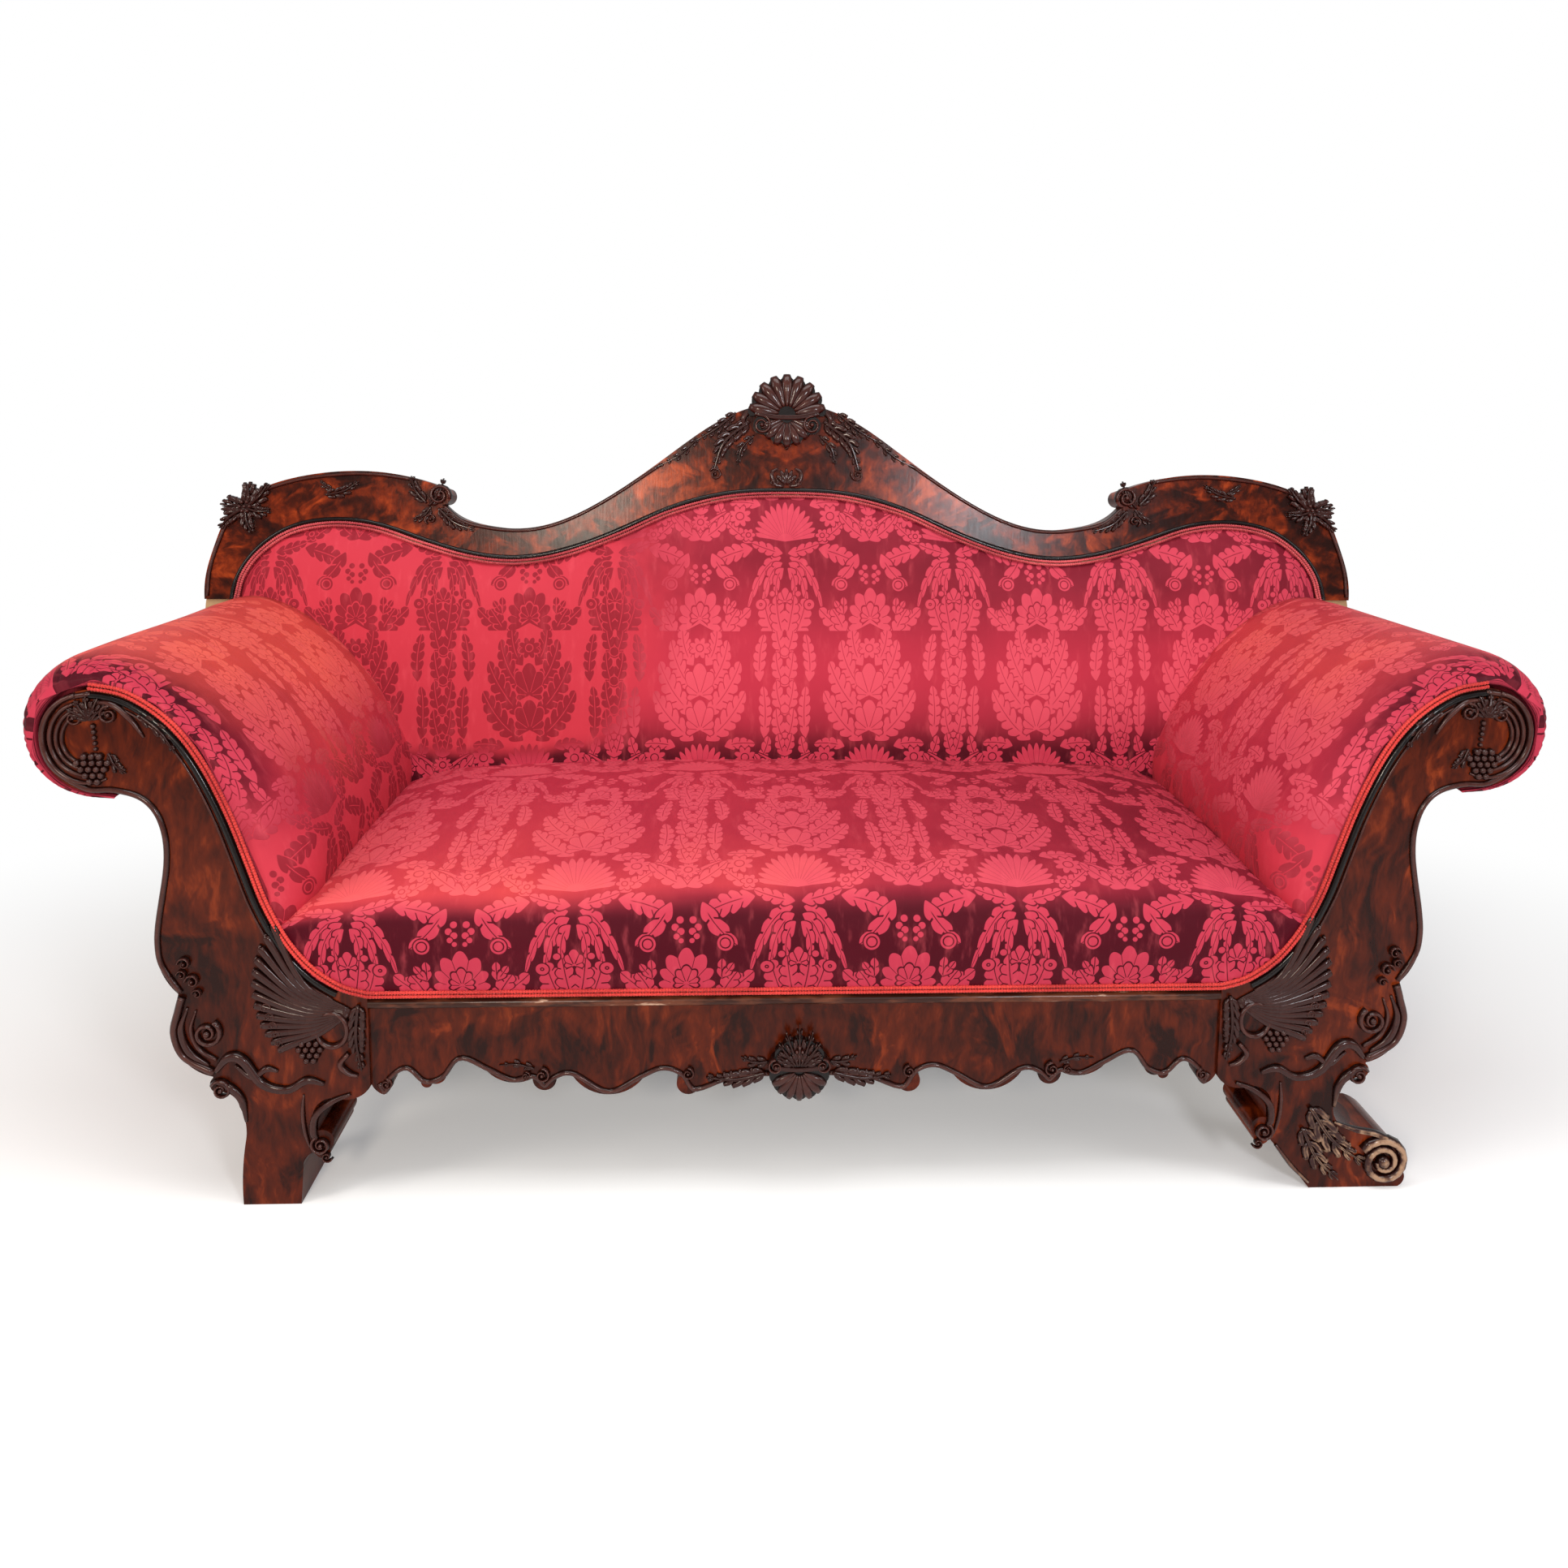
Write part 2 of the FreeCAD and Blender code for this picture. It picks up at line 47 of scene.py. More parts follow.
forward = Vector((math.sin(yaw) * math.cos(pitch), math.cos(yaw) * math.cos(pitch), -math.sin(pitch)))
level_right = Vector((math.cos(yaw), -math.sin(yaw), 0))
level_up = level_right.cross(forward)
cam_right = level_right * math.cos(roll) + level_up * math.sin(roll)
cam_up = level_up * math.cos(roll) - level_right * math.sin(roll)
lens = bpy.data.cameras.new("camera")
lens.sensor_width = 36
lens.lens = 36 * focal_pixels / picture_size
lens.shift_y = (lens_centre_row - picture_size / 2) / picture_size
camera = bpy.data.objects.new("camera", lens)
camera.matrix_world = Matrix.Translation(eye) @ Matrix((cam_right, cam_up, -forward)).transposed().to_4x4()
bpy.context.scene.collection.objects.link(camera)
bpy.context.scene.camera = camera
bpy.context.scene.view_settings.view_transform = "Standard"


def soft_light(name, place, aim, width, height, power, colour=(1, 1, 1)):
    lamp = bpy.data.lights.new(name, "AREA")
    lamp.shape = "RECTANGLE"
    lamp.size, lamp.size_y = width, height
    lamp.energy = power
    lamp.color = colour
    stand = bpy.data.objects.new(name, lamp)
    stand.location = place
    stand.rotation_euler = (Vector(aim) - Vector(place)).to_track_quat("-Z", "Y").to_euler()
    bpy.context.scene.collection.objects.link(stand)


soft_light("overhead", (0.0, -1.0, 3.2), (0, 0.0, 0.4), 2.6, 1.2, 48)
soft_light("left_window", (-0.80, -2.75, 1.45), (-0.3, 0.1, 0.9), 0.45, 0.5, 30, (1.0, 0.88, 0.74))
soft_light("right_window", (0.98, -2.75, 1.45), (0.4, 0.1, 0.9), 0.45, 0.5, 30, (0.93, 0.95, 1.0))
soft_light("left_side", (-2.9, -1.6, 2.0), (-0.4, 0, 0.6), 0.7, 1.6, 30, (1.0, 0.93, 0.86))
soft_light("right_side", (2.9, -1.6, 1.9), (0.4, 0, 0.6), 0.7, 1.6, 20)


class Wire:
    """One socket of a material. Sums written on it add Math nodes."""

    def __init__(self, finish, socket):
        self.finish, self.socket = finish, socket

    def math(self, operation, *values):
        return self.finish.add("ShaderNodeMath", {"operation": operation}, *values)

    def __add__(self, other):
        return self.math("ADD", self, other)

    def __sub__(self, other):
        return self.math("SUBTRACT", self, other)

    def __rsub__(self, other):
        return self.math("SUBTRACT", other, self)

    def __mul__(self, other):
        return self.math("MULTIPLY", self, other)

    def __truediv__(self, other):
        return self.math("DIVIDE", self, other)

    def __pow__(self, other):
        return self.math("POWER", self, other)

    __radd__, __rmul__ = __add__, __mul__

    def abs(self):
        return self.math("ABSOLUTE", self)

    def sine(self):
        return self.math("SINE", self)

    def least(self, other):
        return self.math("MINIMUM", self, other)

    def most(self, other):
        return self.math("MAXIMUM", self, other)

    def fold(self, width):
        """Distance to the nearest multiple of width."""
        return self.math("PINGPONG", self, width / 2)

    def cosine(self):
        return self.math("COSINE", self)

    def floor(self):
        return self.math("FLOOR", self)

    def step(self, low, high):
        """0 below low, 1 above high and smooth between."""
        smooth_kind = {"interpolation_type": "SMOOTHSTEP"}
        return self.finish.add("ShaderNodeMapRange", smooth_kind, self, low, high, 0, 1)


class Finish:
    """A material, made node by node."""

    def __init__(self, name, roughness, coat=0.0, sheen=0.0, sheen_tint=None):
        self.material = bpy.data.materials.new(name)
        self.material.use_nodes = True
        self.tree = self.material.node_tree
        self.skin = self.tree.nodes["Principled BSDF"]
        self.skin.inputs["Roughness"].default_value = roughness
        self.skin.inputs["Coat Weight"].default_value = coat
        self.skin.inputs["Coat Roughness"].default_value = 0.06
        self.skin.inputs["Specular IOR Level"].default_value = 0.18
        self.skin.inputs["Sheen Weight"].default_value = sheen
        self.skin.inputs["Sheen Roughness"].default_value = 0.35
        if sheen_tint:
            self.skin.inputs["Sheen Tint"].default_value = (*sheen_tint, 1)

    def join(self, value, socket):
        if isinstance(value, Wire):
            self.tree.links.new(value.socket, socket)
        elif value is not None:
            socket.default_value = value

    def add(self, kind, settings=None, *values, out=0, **named):
        node = self.tree.nodes.new(kind)
        for name, value in (settings or {}).items():
            if name == "stops":
                ramp = node.color_ramp
                while len(ramp.elements) < len(value):
                    ramp.elements.new(0.5)
                for element, (place, colour) in zip(ramp.elements, value):
                    element.position = place
                    element.color = (*colour, 1)
            else:
                setattr(node, name, value)
        for value, socket in zip(values, node.inputs):
            self.join(value, socket)
        for name, value in named.items():
            self.join(value, node.inputs[name])
        return Wire(self, node.outputs[out])

    def place(self, scale=(1, 1, 1), cloth=False):
        """Object coordinates, or the cloth's own two, stretched."""
        if cloth:
            at = self.add("ShaderNodeUVMap", {"uv_map": "cloth"})
        else:
            at = self.add("ShaderNodeTexCoord", out=3)
        return self.add("ShaderNodeMapping", {}, at, Scale=scale)

    def split(self, vector):
        self.add("ShaderNodeSeparateXYZ", {}, vector)
        outs = self.tree.nodes[-1].outputs
        return [Wire(self, o) for o in outs]

    def noise(self, at, scale, detail=3.0, rough=0.55, warp=0.0):
        return self.add("ShaderNodeTexNoise", {}, Vector=at, Scale=scale, Detail=detail, Roughness=rough,
                        Distortion=warp)

    def mix(self, share, low, high):
        low = (*low, 1) if isinstance(low, tuple) else low
        high = (*high, 1) if isinstance(high, tuple) else high
        unused = [None] * 5
        return self.add("ShaderNodeMix", {"data_type": "RGBA"}, share, *unused, low, high, out=2)

    def done(self, colour, roughness=None, relief=None, distance=0.0004):
        self.join(colour, self.skin.inputs["Base Color"])
        self.join(roughness, self.skin.inputs["Roughness"])
        if relief is not None:
            bump = self.add("ShaderNodeBump", {}, Strength=1.0, Distance=distance, Height=relief)
            self.join(bump, self.skin.inputs["Normal"])
        return self.material


# Floor and surroundings. Seen by the camera they are white; in the polish the world shows a dim grey. The
# floor keeps the soft shadow under the sofa and fades to white further out.
world = bpy.data.worlds.new("studio")
bpy.context.scene.world = world
world.use_nodes = True
sky = world.node_tree.nodes["Background"]
path = world.node_tree.nodes.new("ShaderNodeLightPath")
either = world.node_tree.nodes.new("ShaderNodeMath")
either.operation = "MAXIMUM"
world.node_tree.links.new(path.outputs["Is Camera Ray"], either.inputs[0])
world.node_tree.links.new(path.outputs["Is Transmission Ray"], either.inputs[1])
glossy = world.node_tree.nodes.new("ShaderNodeMath")
glossy.operation = "MULTIPLY_ADD"
glossy.inputs[1].default_value = 0.12
world.node_tree.links.new(path.outputs["Is Glossy Ray"], glossy.inputs[0])
world.node_tree.links.new(either.outputs[0], glossy.inputs[2])
level = world.node_tree.nodes.new("ShaderNodeMapRange")
level.inputs["To Min"].default_value = 0.34
world.node_tree.links.new(glossy.outputs[0], level.inputs["Value"])
world.node_tree.links.new(level.outputs[0], sky.inputs["Strength"])
sky.inputs["Color"].default_value = (1, 1, 1, 1)

floor_finish = Finish("floor", 0.9)
across, deep, high = floor_finish.split(floor_finish.place())
far = (across * across * 0.45 + deep * deep) ** 0.5
seen = floor_finish.add("ShaderNodeLightPath", {})
lit = floor_finish.add("ShaderNodeBsdfDiffuse", {}, (0.86, 0.86, 0.86, 1))
lift = floor_finish.add("ShaderNodeEmission", {}, (1, 1, 1, 1), seen * 0.17)
white = floor_finish.add("ShaderNodeEmission", {}, (1, 1, 1, 1), 1.0)
near_floor = floor_finish.add("ShaderNodeAddShader", {}, lit, lift)
whole_floor = floor_finish.add("ShaderNodeMixShader", {}, far.step(0.75, 1.7) * seen, near_floor, white)
floor_finish.join(whole_floor, floor_finish.tree.nodes["Material Output"].inputs["Surface"])
floor_mesh = bpy.data.meshes.new("floor")
floor_mesh.from_pydata([(-30, -30, 0), (30, -30, 0), (30, 30, 0), (-30, 30, 0)], [], [(0, 1, 2, 3)])
floor_mesh.materials.append(floor_finish.material)
floor = bpy.data.objects.new("floor", floor_mesh)
bpy.context.scene.collection.objects.link(floor)


# Veneered and polished wood. The boards are faced with flame mahogany: dark brown, with plumes of
# orange red that fan out from the middle of each board, under a thick French polish.
def flame_mahogany(name, scale, bright=1.0, matched=False):
    wood = Finish(name, 0.2)
    at = wood.place()
    x, y, z = wood.split(at)
    if matched:
        x = x.abs()
    drift = wood.noise(at, 5.0, 2.0)
    plume_at = wood.add("ShaderNodeCombineXYZ", {}, x * scale[0] + drift * 1.6, y * 2.0, z * scale[1] + drift)
    plume = wood.noise(plume_at, 1.0, 4.0, 0.55, 1.3)
    grain_at = wood.add("ShaderNodeCombineXYZ", {}, x * scale[0] * 9 + plume * 5, y * 30.0, z * scale[1] * 5)
    grain = wood.noise(grain_at, 1.0, 3.0, 0.6)
    streak = (z * scale[1] * 7 + x * scale[0] * 4 + plume * 30).sine()
    tone = plume * 0.62 + grain * 0.42 + streak * 0.05
    dark, warm, flame = (0.014, 0.0018, 0.0005), (0.13, 0.0145, 0.002), (0.36, 0.050, 0.008)
    flame = tuple(c * bright for c in flame)
    warm = tuple(c * bright for c in warm)
    stops = [(0.38, dark), (0.48, (0.045, 0.005, 0.0008)), (0.58, warm), (0.74, flame)]
    colour = wood.add("ShaderNodeValToRGB", {"stops": stops}, tone)
    pores = wood.noise(wood.place((260, 260, 22)), 1.0, 2.0)
    return wood.done(colour, 0.16 + pores * 0.12, pores * 0.6 + grain * 0.4, 0.00012)


plain_mahogany = flame_mahogany("side_mahogany", (3, 14), bright=0.6)
facing_mahogany = flame_mahogany("facing_mahogany", (9, 4.5), bright=0.62)
crest_mahogany = flame_mahogany("crest_mahogany", (7, 8), bright=1.1, matched=True)
shoulder_mahogany = flame_mahogany("shoulder_mahogany", (6, 9), bright=1.1)
apron_mahogany = flame_mahogany("apron_mahogany", (9, 4), bright=0.68, matched=True)


def dress(material, *names):
    for name in names:
        slots = cad_node[name].data.materials
        slots.clear()
        slots.append(material)


def both(name):
    return name + "_left", name + "_right"


dress(plain_mahogany, *both("rear_leg"), *both("side_rail"))
dress(facing_mahogany, *both("arm_facing"), *both("front_foot"))
dress(crest_mahogany, "crest_rail")
dress(shoulder_mahogany, *both("back_shoulder"))
dress(apron_mahogany, "front_apron")


# The frame inside: rails, posts, blocks, stays and uprights of plain sawn beech, with the screws
# through its corner blocks, jute webbing, waxed coil springs and a canvas over them.
def sawn_wood():
    wood = Finish("sawn_beech", 0.6)
    ring = wood.noise(wood.place((3, 40, 40)), 1.0, 4.0, 0.6, 0.8)
    colour = wood.mix(ring.step(0.3, 0.7), (0.30, 0.17, 0.08), (0.46, 0.30, 0.16))
    return wood.done(colour, 0.55 + ring * 0.2, ring, 0.0004)


def woven(name, dark, light, pitch):
    cloth = Finish(name, 0.85)
    x, y, z = cloth.split(cloth.place())
    turn = 2 * math.pi / pitch
    weave = (x * turn).sine() * ((y + z) * turn).sine()
    slub = cloth.noise(cloth.place(), 90.0, 3.0)
    return cloth.done(cloth.mix(slub.step(0.3, 0.7) * 0.6 + weave * 0.2 + 0.2, dark, light), None,
                      weave * 0.5 + slub, 0.0006)


def drawn_steel():
    steel = Finish("drawn_steel", 0.35)
    steel.skin.inputs["Metallic"].default_value = 1.0
    spots = steel.noise(steel.place(), 160.0, 3.0)
    colour = steel.mix(spots.step(0.5, 0.7), (0.35, 0.34, 0.33), (0.16, 0.09, 0.06))
    return steel.done(colour, spots * 0.4 + 0.2)


dress(sawn_wood(), "front_rail", "back_rail", "seat_cross_rail", "corner_blocks", "back_stay_rail",
      "back_uprights", *both("front_post"), *both("back_stile"), *both("arm_top_rail"),
      *both("arm_stay_rail"))
dress(woven("jute_webbing", (0.30, 0.20, 0.10), (0.55, 0.42, 0.25), 0.004), "seat_webbing", "back_webbing",
      *both("arm_webbing"))
dress(woven("canvas", (0.40, 0.33, 0.22), (0.62, 0.54, 0.40), 0.002), "spring_canvas")
dress(drawn_steel(), "seat_springs", "block_screws")


# Carved work. Leaves, scrolls, shells, grapes and mouldings are cut in solid dark mahogany; each
# is built here as raised strokes that stand on the face of their board, and kept as one mesh.
front_plane = -0.346
back_plane, lean_height, lean_angle = 0.262, 0.570, math.radians(6)
crest_plane = back_plane - 0.008


def carved_mahogany(name, worn=0.0):
    wood = Finish(name, 0.2, coat=0.3)
    raised = wood.add("ShaderNodeAttribute", {"attribute_name": "raised"}, out=2)
    mottle = wood.noise(wood.place(), 60.0, 3.0)
    # Painted shade: low down on each stroke, in the recesses between strokes, the wood is darkened nearly to
    # black.
    colour = wood.mix(raised.step(0.15, 0.95), (0.003, 0.0008, 0.0006), (0.032, 0.0065, 0.0045))
    # The highest crests are lightened to a paler brown, partly as rubbed wear and partly as a painted
    # highlight.
    colour = wood.mix((raised + mottle * 0.5).step(1.0, 1.45) * 0.6, colour, (0.11, 0.030, 0.020))
    if worn:
        x, y, z = wood.split(wood.place())
        rubbed = (raised + mottle * 1.2).step(1.3, 1.65) * (0.16 - z).step(0.0, 0.08) * x.step(0.70, 0.80)
        colour = wood.mix(rubbed * worn, colour, (0.42, 0.25, 0.15))
    return wood.done(colour, 0.2 + mottle * 0.14, mottle, 0.0003)


def on_front(x, out, z):
    return x, front_plane - out, z


def on_back(x, out, z, plane=None):
    """Stands the point on the leaning face of the back frame."""
    deep = (crest_plane if plane is None else plane) - out - back_plane
    up = z - lean_height
    return (x, back_plane + deep * math.cos(lean_angle) + up * math.sin(lean_angle),
            lean_height + up * math.cos(lean_angle) - deep * math.sin(lean_angle))


def smooth(points, count):
    """Points along a curve through the given ones."""
    p = np.array(points, float)
    if len(p) == 2:
        return p[0] + (p[1] - p[0]) * np.linspace(0, 1, count)[:, None]
    q = np.vstack([2 * p[0] - p[1], p, 2 * p[-1] - p[-2]])
    line = []
    for u in np.linspace(0, len(p) - 1, count):
        i = min(int(u), len(p) - 2)
        t = u - i
        a, b, c, d = q[i:i + 4]
        line.append(0.5 * (2 * b + (c - a) * t + (2 * a - 5 * b + 4 * c - d) * t * t
                           + (3 * b - a - 3 * c + d) * t ** 3))
    return np.array(line)


def even(line, pitch):
    """The same line with points at equal steps."""
    run = np.concatenate([[0], np.cumsum(np.linalg.norm(np.diff(line, axis=0), axis=1))])
    marks = np.linspace(0, run[-1], max(int(run[-1] / pitch), 2))
    return np.column_stack([np.interp(marks, run, line[:, k]) for k in range(line.shape[1])])


def beside(line, distance):
    """A line kept at a distance to the right of another."""
    along = np.gradient(line, axis=0)
    along /= np.linalg.norm(along, axis=1)[:, None]
    return line + np.column_stack([along[:, 1], -along[:, 0]]) * distance


class Carving:
    """Strokes and bosses on one face, in millimetres, gathered into a single mesh."""

    section = ((-1, -0.15), (-0.86, 0.45), (-0.5, 0.88), (0, 1.0), (0.5, 0.88), (0.86, 0.45), (1, -0.15))

    def __init__(self, place):
        self.place = place
        self.points, self.faces, self.raised = [], [], []

    def stroke(self, path, width, height, groove=0.0, count=12, base=0.0):
        line = smooth(path, count)
        along = np.gradient(line, axis=0)
        along /= np.linalg.norm(along, axis=1)[:, None] + 1e-9
        share = np.linspace(0, 1, count)
        wide = np.interp(share, np.linspace(0, 1, len(width)), width) / 2
        tall = np.interp(share, np.linspace(0, 1, len(height)), height)
        first = len(self.points)
        for (x, z), (ax, az), w, h in zip(line, along, wide, tall):
            for k, up in self.section:
                if k == 0:
                    up -= groove
                self.points.append((x + az * k * w, base + up * h, z - ax * k * w))
                self.raised.append(max(up, 0.0))
        n = len(self.section)
        for i in range(count - 1):
            for k in range(n):
                a, b = first + i * n + k, first + i * n + (k + 1) % n
                self.faces.append((a, b, b + n, a + n))
        self.faces.append(tuple(range(first, first + n)))
        self.faces.append(tuple(range(first + (count - 1) * n, first + count * n)))

    def boss(self, x, z, radius, height, base=0.0):
        first, sides = len(self.points), 10
        for share, up in ((1.0, -0.2), (0.92, 0.4), (0.62, 0.82)):
            for k in range(sides):
                a = 2 * math.pi * k / sides
                self.points.append((x + radius * share * math.cos(a), base + up * height,
                                    z + radius * share * math.sin(a)))
                self.raised.append(max(up, 0.0))
        self.points.append((x, base + height, z))
        self.raised.append(1.0)
        for ring in range(2):
            for k in range(sides):
                a, b = first + ring * sides + k, first + ring * sides + (k + 1) % sides
                self.faces.append((a, b, b + sides, a + sides))
        for k in range(sides):
            a, b = first + 2 * sides + k, first + 2 * sides + (k + 1) % sides
            self.faces.append((a, b, first + 3 * sides))
        self.faces.append(tuple(range(first, first + sides)))

    def volute(self, x, z, radius, height, turns=1.4, start=90, way=1, base=0.0):
        count = int(16 * turns)
        path = []
        for i in range(count):
            t = i / (count - 1)
            a = math.radians(start) + way * t * turns * 2 * math.pi
            r = radius * (1 - 0.72 * t)
            path.append((x + r * math.cos(a), z + r * math.sin(a)))
        self.stroke(path, (radius * 0.42, radius * 0.36, radius * 0.24), (height, height, height * 0.9),
                    count=count, base=base)
        self.boss(x, z, radius * 0.3, height * 1.25, base)

    def leaf(self, base_at, tip, bend, width, lobes, height, base=0.0):
        """An acanthus leaf: a rib with grooved lobes that turn forward on both sides."""
        start, end = np.array(base_at, float), np.array(tip, float)
        span = end - start
        across = np.array([-span[1], span[0]]) / np.linalg.norm(span)
        spine = smooth([start, (start + end) / 2 + across * bend, end], 25)
        for i in range(lobes):
            t = (i + 0.35) / lobes
            at = spine[int(t * 24)]
            ahead = spine[min(int(t * 24) + 1, 24)] - spine[max(int(t * 24) - 1, 0)]
            ahead /= np.linalg.norm(ahead)
            out = np.array([-ahead[1], ahead[0]])
            reach = width * (0.62 + 0.3 * math.sin(math.pi * min(t * 1.3, 1))) * (1 - 0.55 * t)
            for side in (-1, 1):
                path = [at, at + ahead * reach * 0.34 + out * side * reach * 0.38,
                        at + ahead * reach * 0.95 + out * side * reach * 0.52,
                        at + ahead * reach * 0.9 + out * side * reach * 0.74]
                self.stroke(path, (reach * 0.3, reach * 0.56, reach * 0.5, reach * 0.14),
                            (height * 0.5, height * 0.8, height, height * 0.5), 0.3, 8, base)
        self.stroke([spine[0], spine[12], spine[24]], (width * 0.22, width * 0.2, width * 0.06),
                    (height * 1.1, height * 1.2, height * 0.8), 0.35, 14, base)

    def fan(self, x, z, inner, outer, first_angle, last_angle, flutes, height, base=0.0):
        """Flutes of a shell, each wider and rounder at its outer end."""
        for i in range(flutes):
            a = math.radians(first_angle + (last_angle - first_angle) * (i + 0.5) / flutes)
            wide = abs(math.radians(last_angle - first_angle)) / flutes * outer
            reach = outer * (0.94 + 0.06 * math.sin(math.pi * (i + 0.5) / flutes))
            self.stroke([(x + inner * math.cos(a), z + inner * math.sin(a)),
                         (x + reach * math.cos(a), z + reach * math.sin(a))],
                        (wide * inner / outer * 1.1, wide * 0.6, wide * 0.95, wide * 0.98, wide * 0.5),
                        (height * 0.7, height * 0.8, height, height, height * 0.5), 0.12, 10, base)

    def grapes(self, x, z, rows, radius, height):
        for row, count in enumerate(rows):
            for k in range(count):
                self.boss(x + (k - (count - 1) / 2) * radius * 1.85, z - row * radius * 1.6, radius,
                          height * (1.1 - 0.05 * row))

    def build(self, name, material, mirror=False):
        side = -1 if mirror else 1
        points = [self.place(side * x / 1000, out / 1000, z / 1000) for x, out, z in self.points]
        mesh = bpy.data.meshes.new(name)
        mesh.from_pydata(points, [], self.faces)
        mesh.attributes.new("raised", "FLOAT", "POINT").data.foreach_set("value", self.raised)
        shape = bmesh.new()
        shape.from_mesh(mesh)
        bmesh.ops.recalc_face_normals(shape, faces=shape.faces)
        shape.to_mesh(mesh)
        shape.free()
        mesh.materials.append(material)
        mesh.polygons.foreach_set("use_smooth", [True] * len(mesh.polygons))
        piece = bpy.data.objects.new(name, mesh)
        bpy.context.scene.collection.objects.link(piece)
        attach(piece, "root")


dark_carving = carved_mahogany("carved_mahogany")
worn_carving = carved_mahogany("worn_mahogany", 0.85)
dress(dark_carving, *both("facing_bead"), "apron_shell", "crest_shell", "back_bead")

# The arm facings' carving: a ribbed rim round each scroll with leaves, volutes, a drop of beads
# and grapes inside it, mouldings down both edges, and a fan of feathers over the knee.
facing_inner = [(612, 312), (650, 324), (690, 352), (724, 394), (752, 450), (772, 510), (795, 578),
                (822, 640), (850, 686), (882, 720), (925, 747), (968, 756)]
facing_outer = [(968, 756), (1012, 744), (1040, 700), (1032, 650), (985, 614), (945, 611), (912, 601),
                (893, 580), (884, 548), (884, 512), (891, 470), (899, 430), (903, 394), (898, 360),
                (874, 320)]
knee_outer = [(874, 318), (880, 298), (888, 262), (874, 224), (832, 198)]
facing_work = Carving(on_front)
facing_work.stroke(beside(smooth(facing_outer, 70), 5), (9,), (5,), count=70)
facing_work.stroke(beside(smooth(knee_outer, 24), 6), (12,), (8,), count=24)
facing_work.stroke(beside(smooth(facing_inner[1:], 50), 17), (4,), (3.5,), count=50)
for k, (radius, wide) in enumerate(((62, 10), (51, 8), (42, 7), (34, 6))):
    arc = [(978 + radius * 0.92 * math.cos(math.radians(a)), 688 + radius * math.sin(math.radians(a)))
           for a in range(80 - 6 * k, -130 + 8 * k, -14)]
    facing_work.stroke(arc, (wide * 0.8, wide, wide * 0.9, wide * 0.4), (8 - k, 9 - k, 6, 3), count=26)
for x, z, radius, way in ((944, 722, 13, -1), (970, 722, 9, 1), (991, 718, 11, 1)):
    facing_work.volute(x, z, radius, 8, 1.3, 100, way)
facing_work.stroke([(900, 690), (915, 714), (938, 736), (960, 740)], (4, 9, 10, 5), (3, 6, 8, 6))
for a in (20, 52, 84, 116, 148):
    tip = (970 + 30 * math.cos(math.radians(a)), 722 + 26 * math.sin(math.radians(a)))
    facing_work.leaf((970, 716), tip, 0, 15, 3, 10)
for k in range(6):
    facing_work.boss(967 - 0.5 * k, 706 - 8 * k, 4.2 - 0.2 * k, 6)
facing_work.grapes(970, 664, (3, 5, 4, 3, 2), 5.6, 9)
facing_work.leaf((948, 668), (926, 640), 4, 16, 3, 6)
facing_work.leaf((904, 722), (858, 668), -6, 18, 4, 8)
hub = np.array((632.0, 292.0))
for k in range(13):
    t = k / 12
    a = math.radians(50 - 78 * t)
    reach = 158 - 46 * t
    tip = hub + reach * np.array((math.cos(a), math.sin(a)))
    knee = hub + reach * 0.5 * np.array((math.cos(a - 0.30 + 0.2 * t), math.sin(a - 0.30 + 0.2 * t)))
    facing_work.stroke([hub + (8 * t, -6 * t), knee, tip, tip + (2, 9 - 16 * t)], (4, 10, 13, 4),
                       (4, 8, 9, 4), 0.3, 18)
for k in range(5):
    facing_work.volute(752 - 4 * k, 300 - 13 * k, 8 - 0.6 * k, 8, 1.2, 200, -1)
ring = [(662 + 22 * math.cos(math.radians(a)), 266 + 25 * math.sin(math.radians(a)))
        for a in range(60, 420, 20)]
facing_work.stroke(ring, (6, 9, 9, 4), (6, 10, 9, 4), count=30)
facing_work.grapes(694, 246, (3, 4, 3, 2), 5.4, 9)
facing_work.leaf((624, 302), (622, 205), 5, 24, 7, 9)
facing_work.stroke([(640, 230), (652, 214), (640, 200), (628, 196)], (8, 10, 9, 5), (8, 9, 8, 5))
for x, z, radius in ((862, 366, 9), (866, 350, 7), (852, 340, 10), (846, 322, 7)):
    facing_work.volute(x, z, radius, 8, 1.2, 0, 1)
facing_work.volute(836, 262, 20, 8, 1.5, 120, 1)
facing_work.stroke([(862, 300), (872, 268), (862, 236), (836, 214)], (4, 10, 12, 6), (3, 8, 9, 5), 0.2, 20)
facing_work.stroke([(850, 296), (858, 268), (848, 240), (824, 222)], (3, 7, 8, 5), (3, 6, 7, 5), 0.0, 18)
band = [(826, 206), (808, 226), (788, 222), (762, 186), (728, 176), (700, 190), (676, 184)]
facing_work.stroke(band, (8, 15, 15, 14, 12, 12, 6), (8, 11, 11, 10, 9, 9, 6), 0.25, 34)
facing_work.stroke([(800, 214), (776, 196), (756, 208), (740, 204)], (4, 9, 10, 5), (4, 7, 8, 4), 0.2, 16)
facing_work.build("facing_carving_right", dark_carving)
facing_work.build("facing_carving_left", dark_carving, mirror=True)

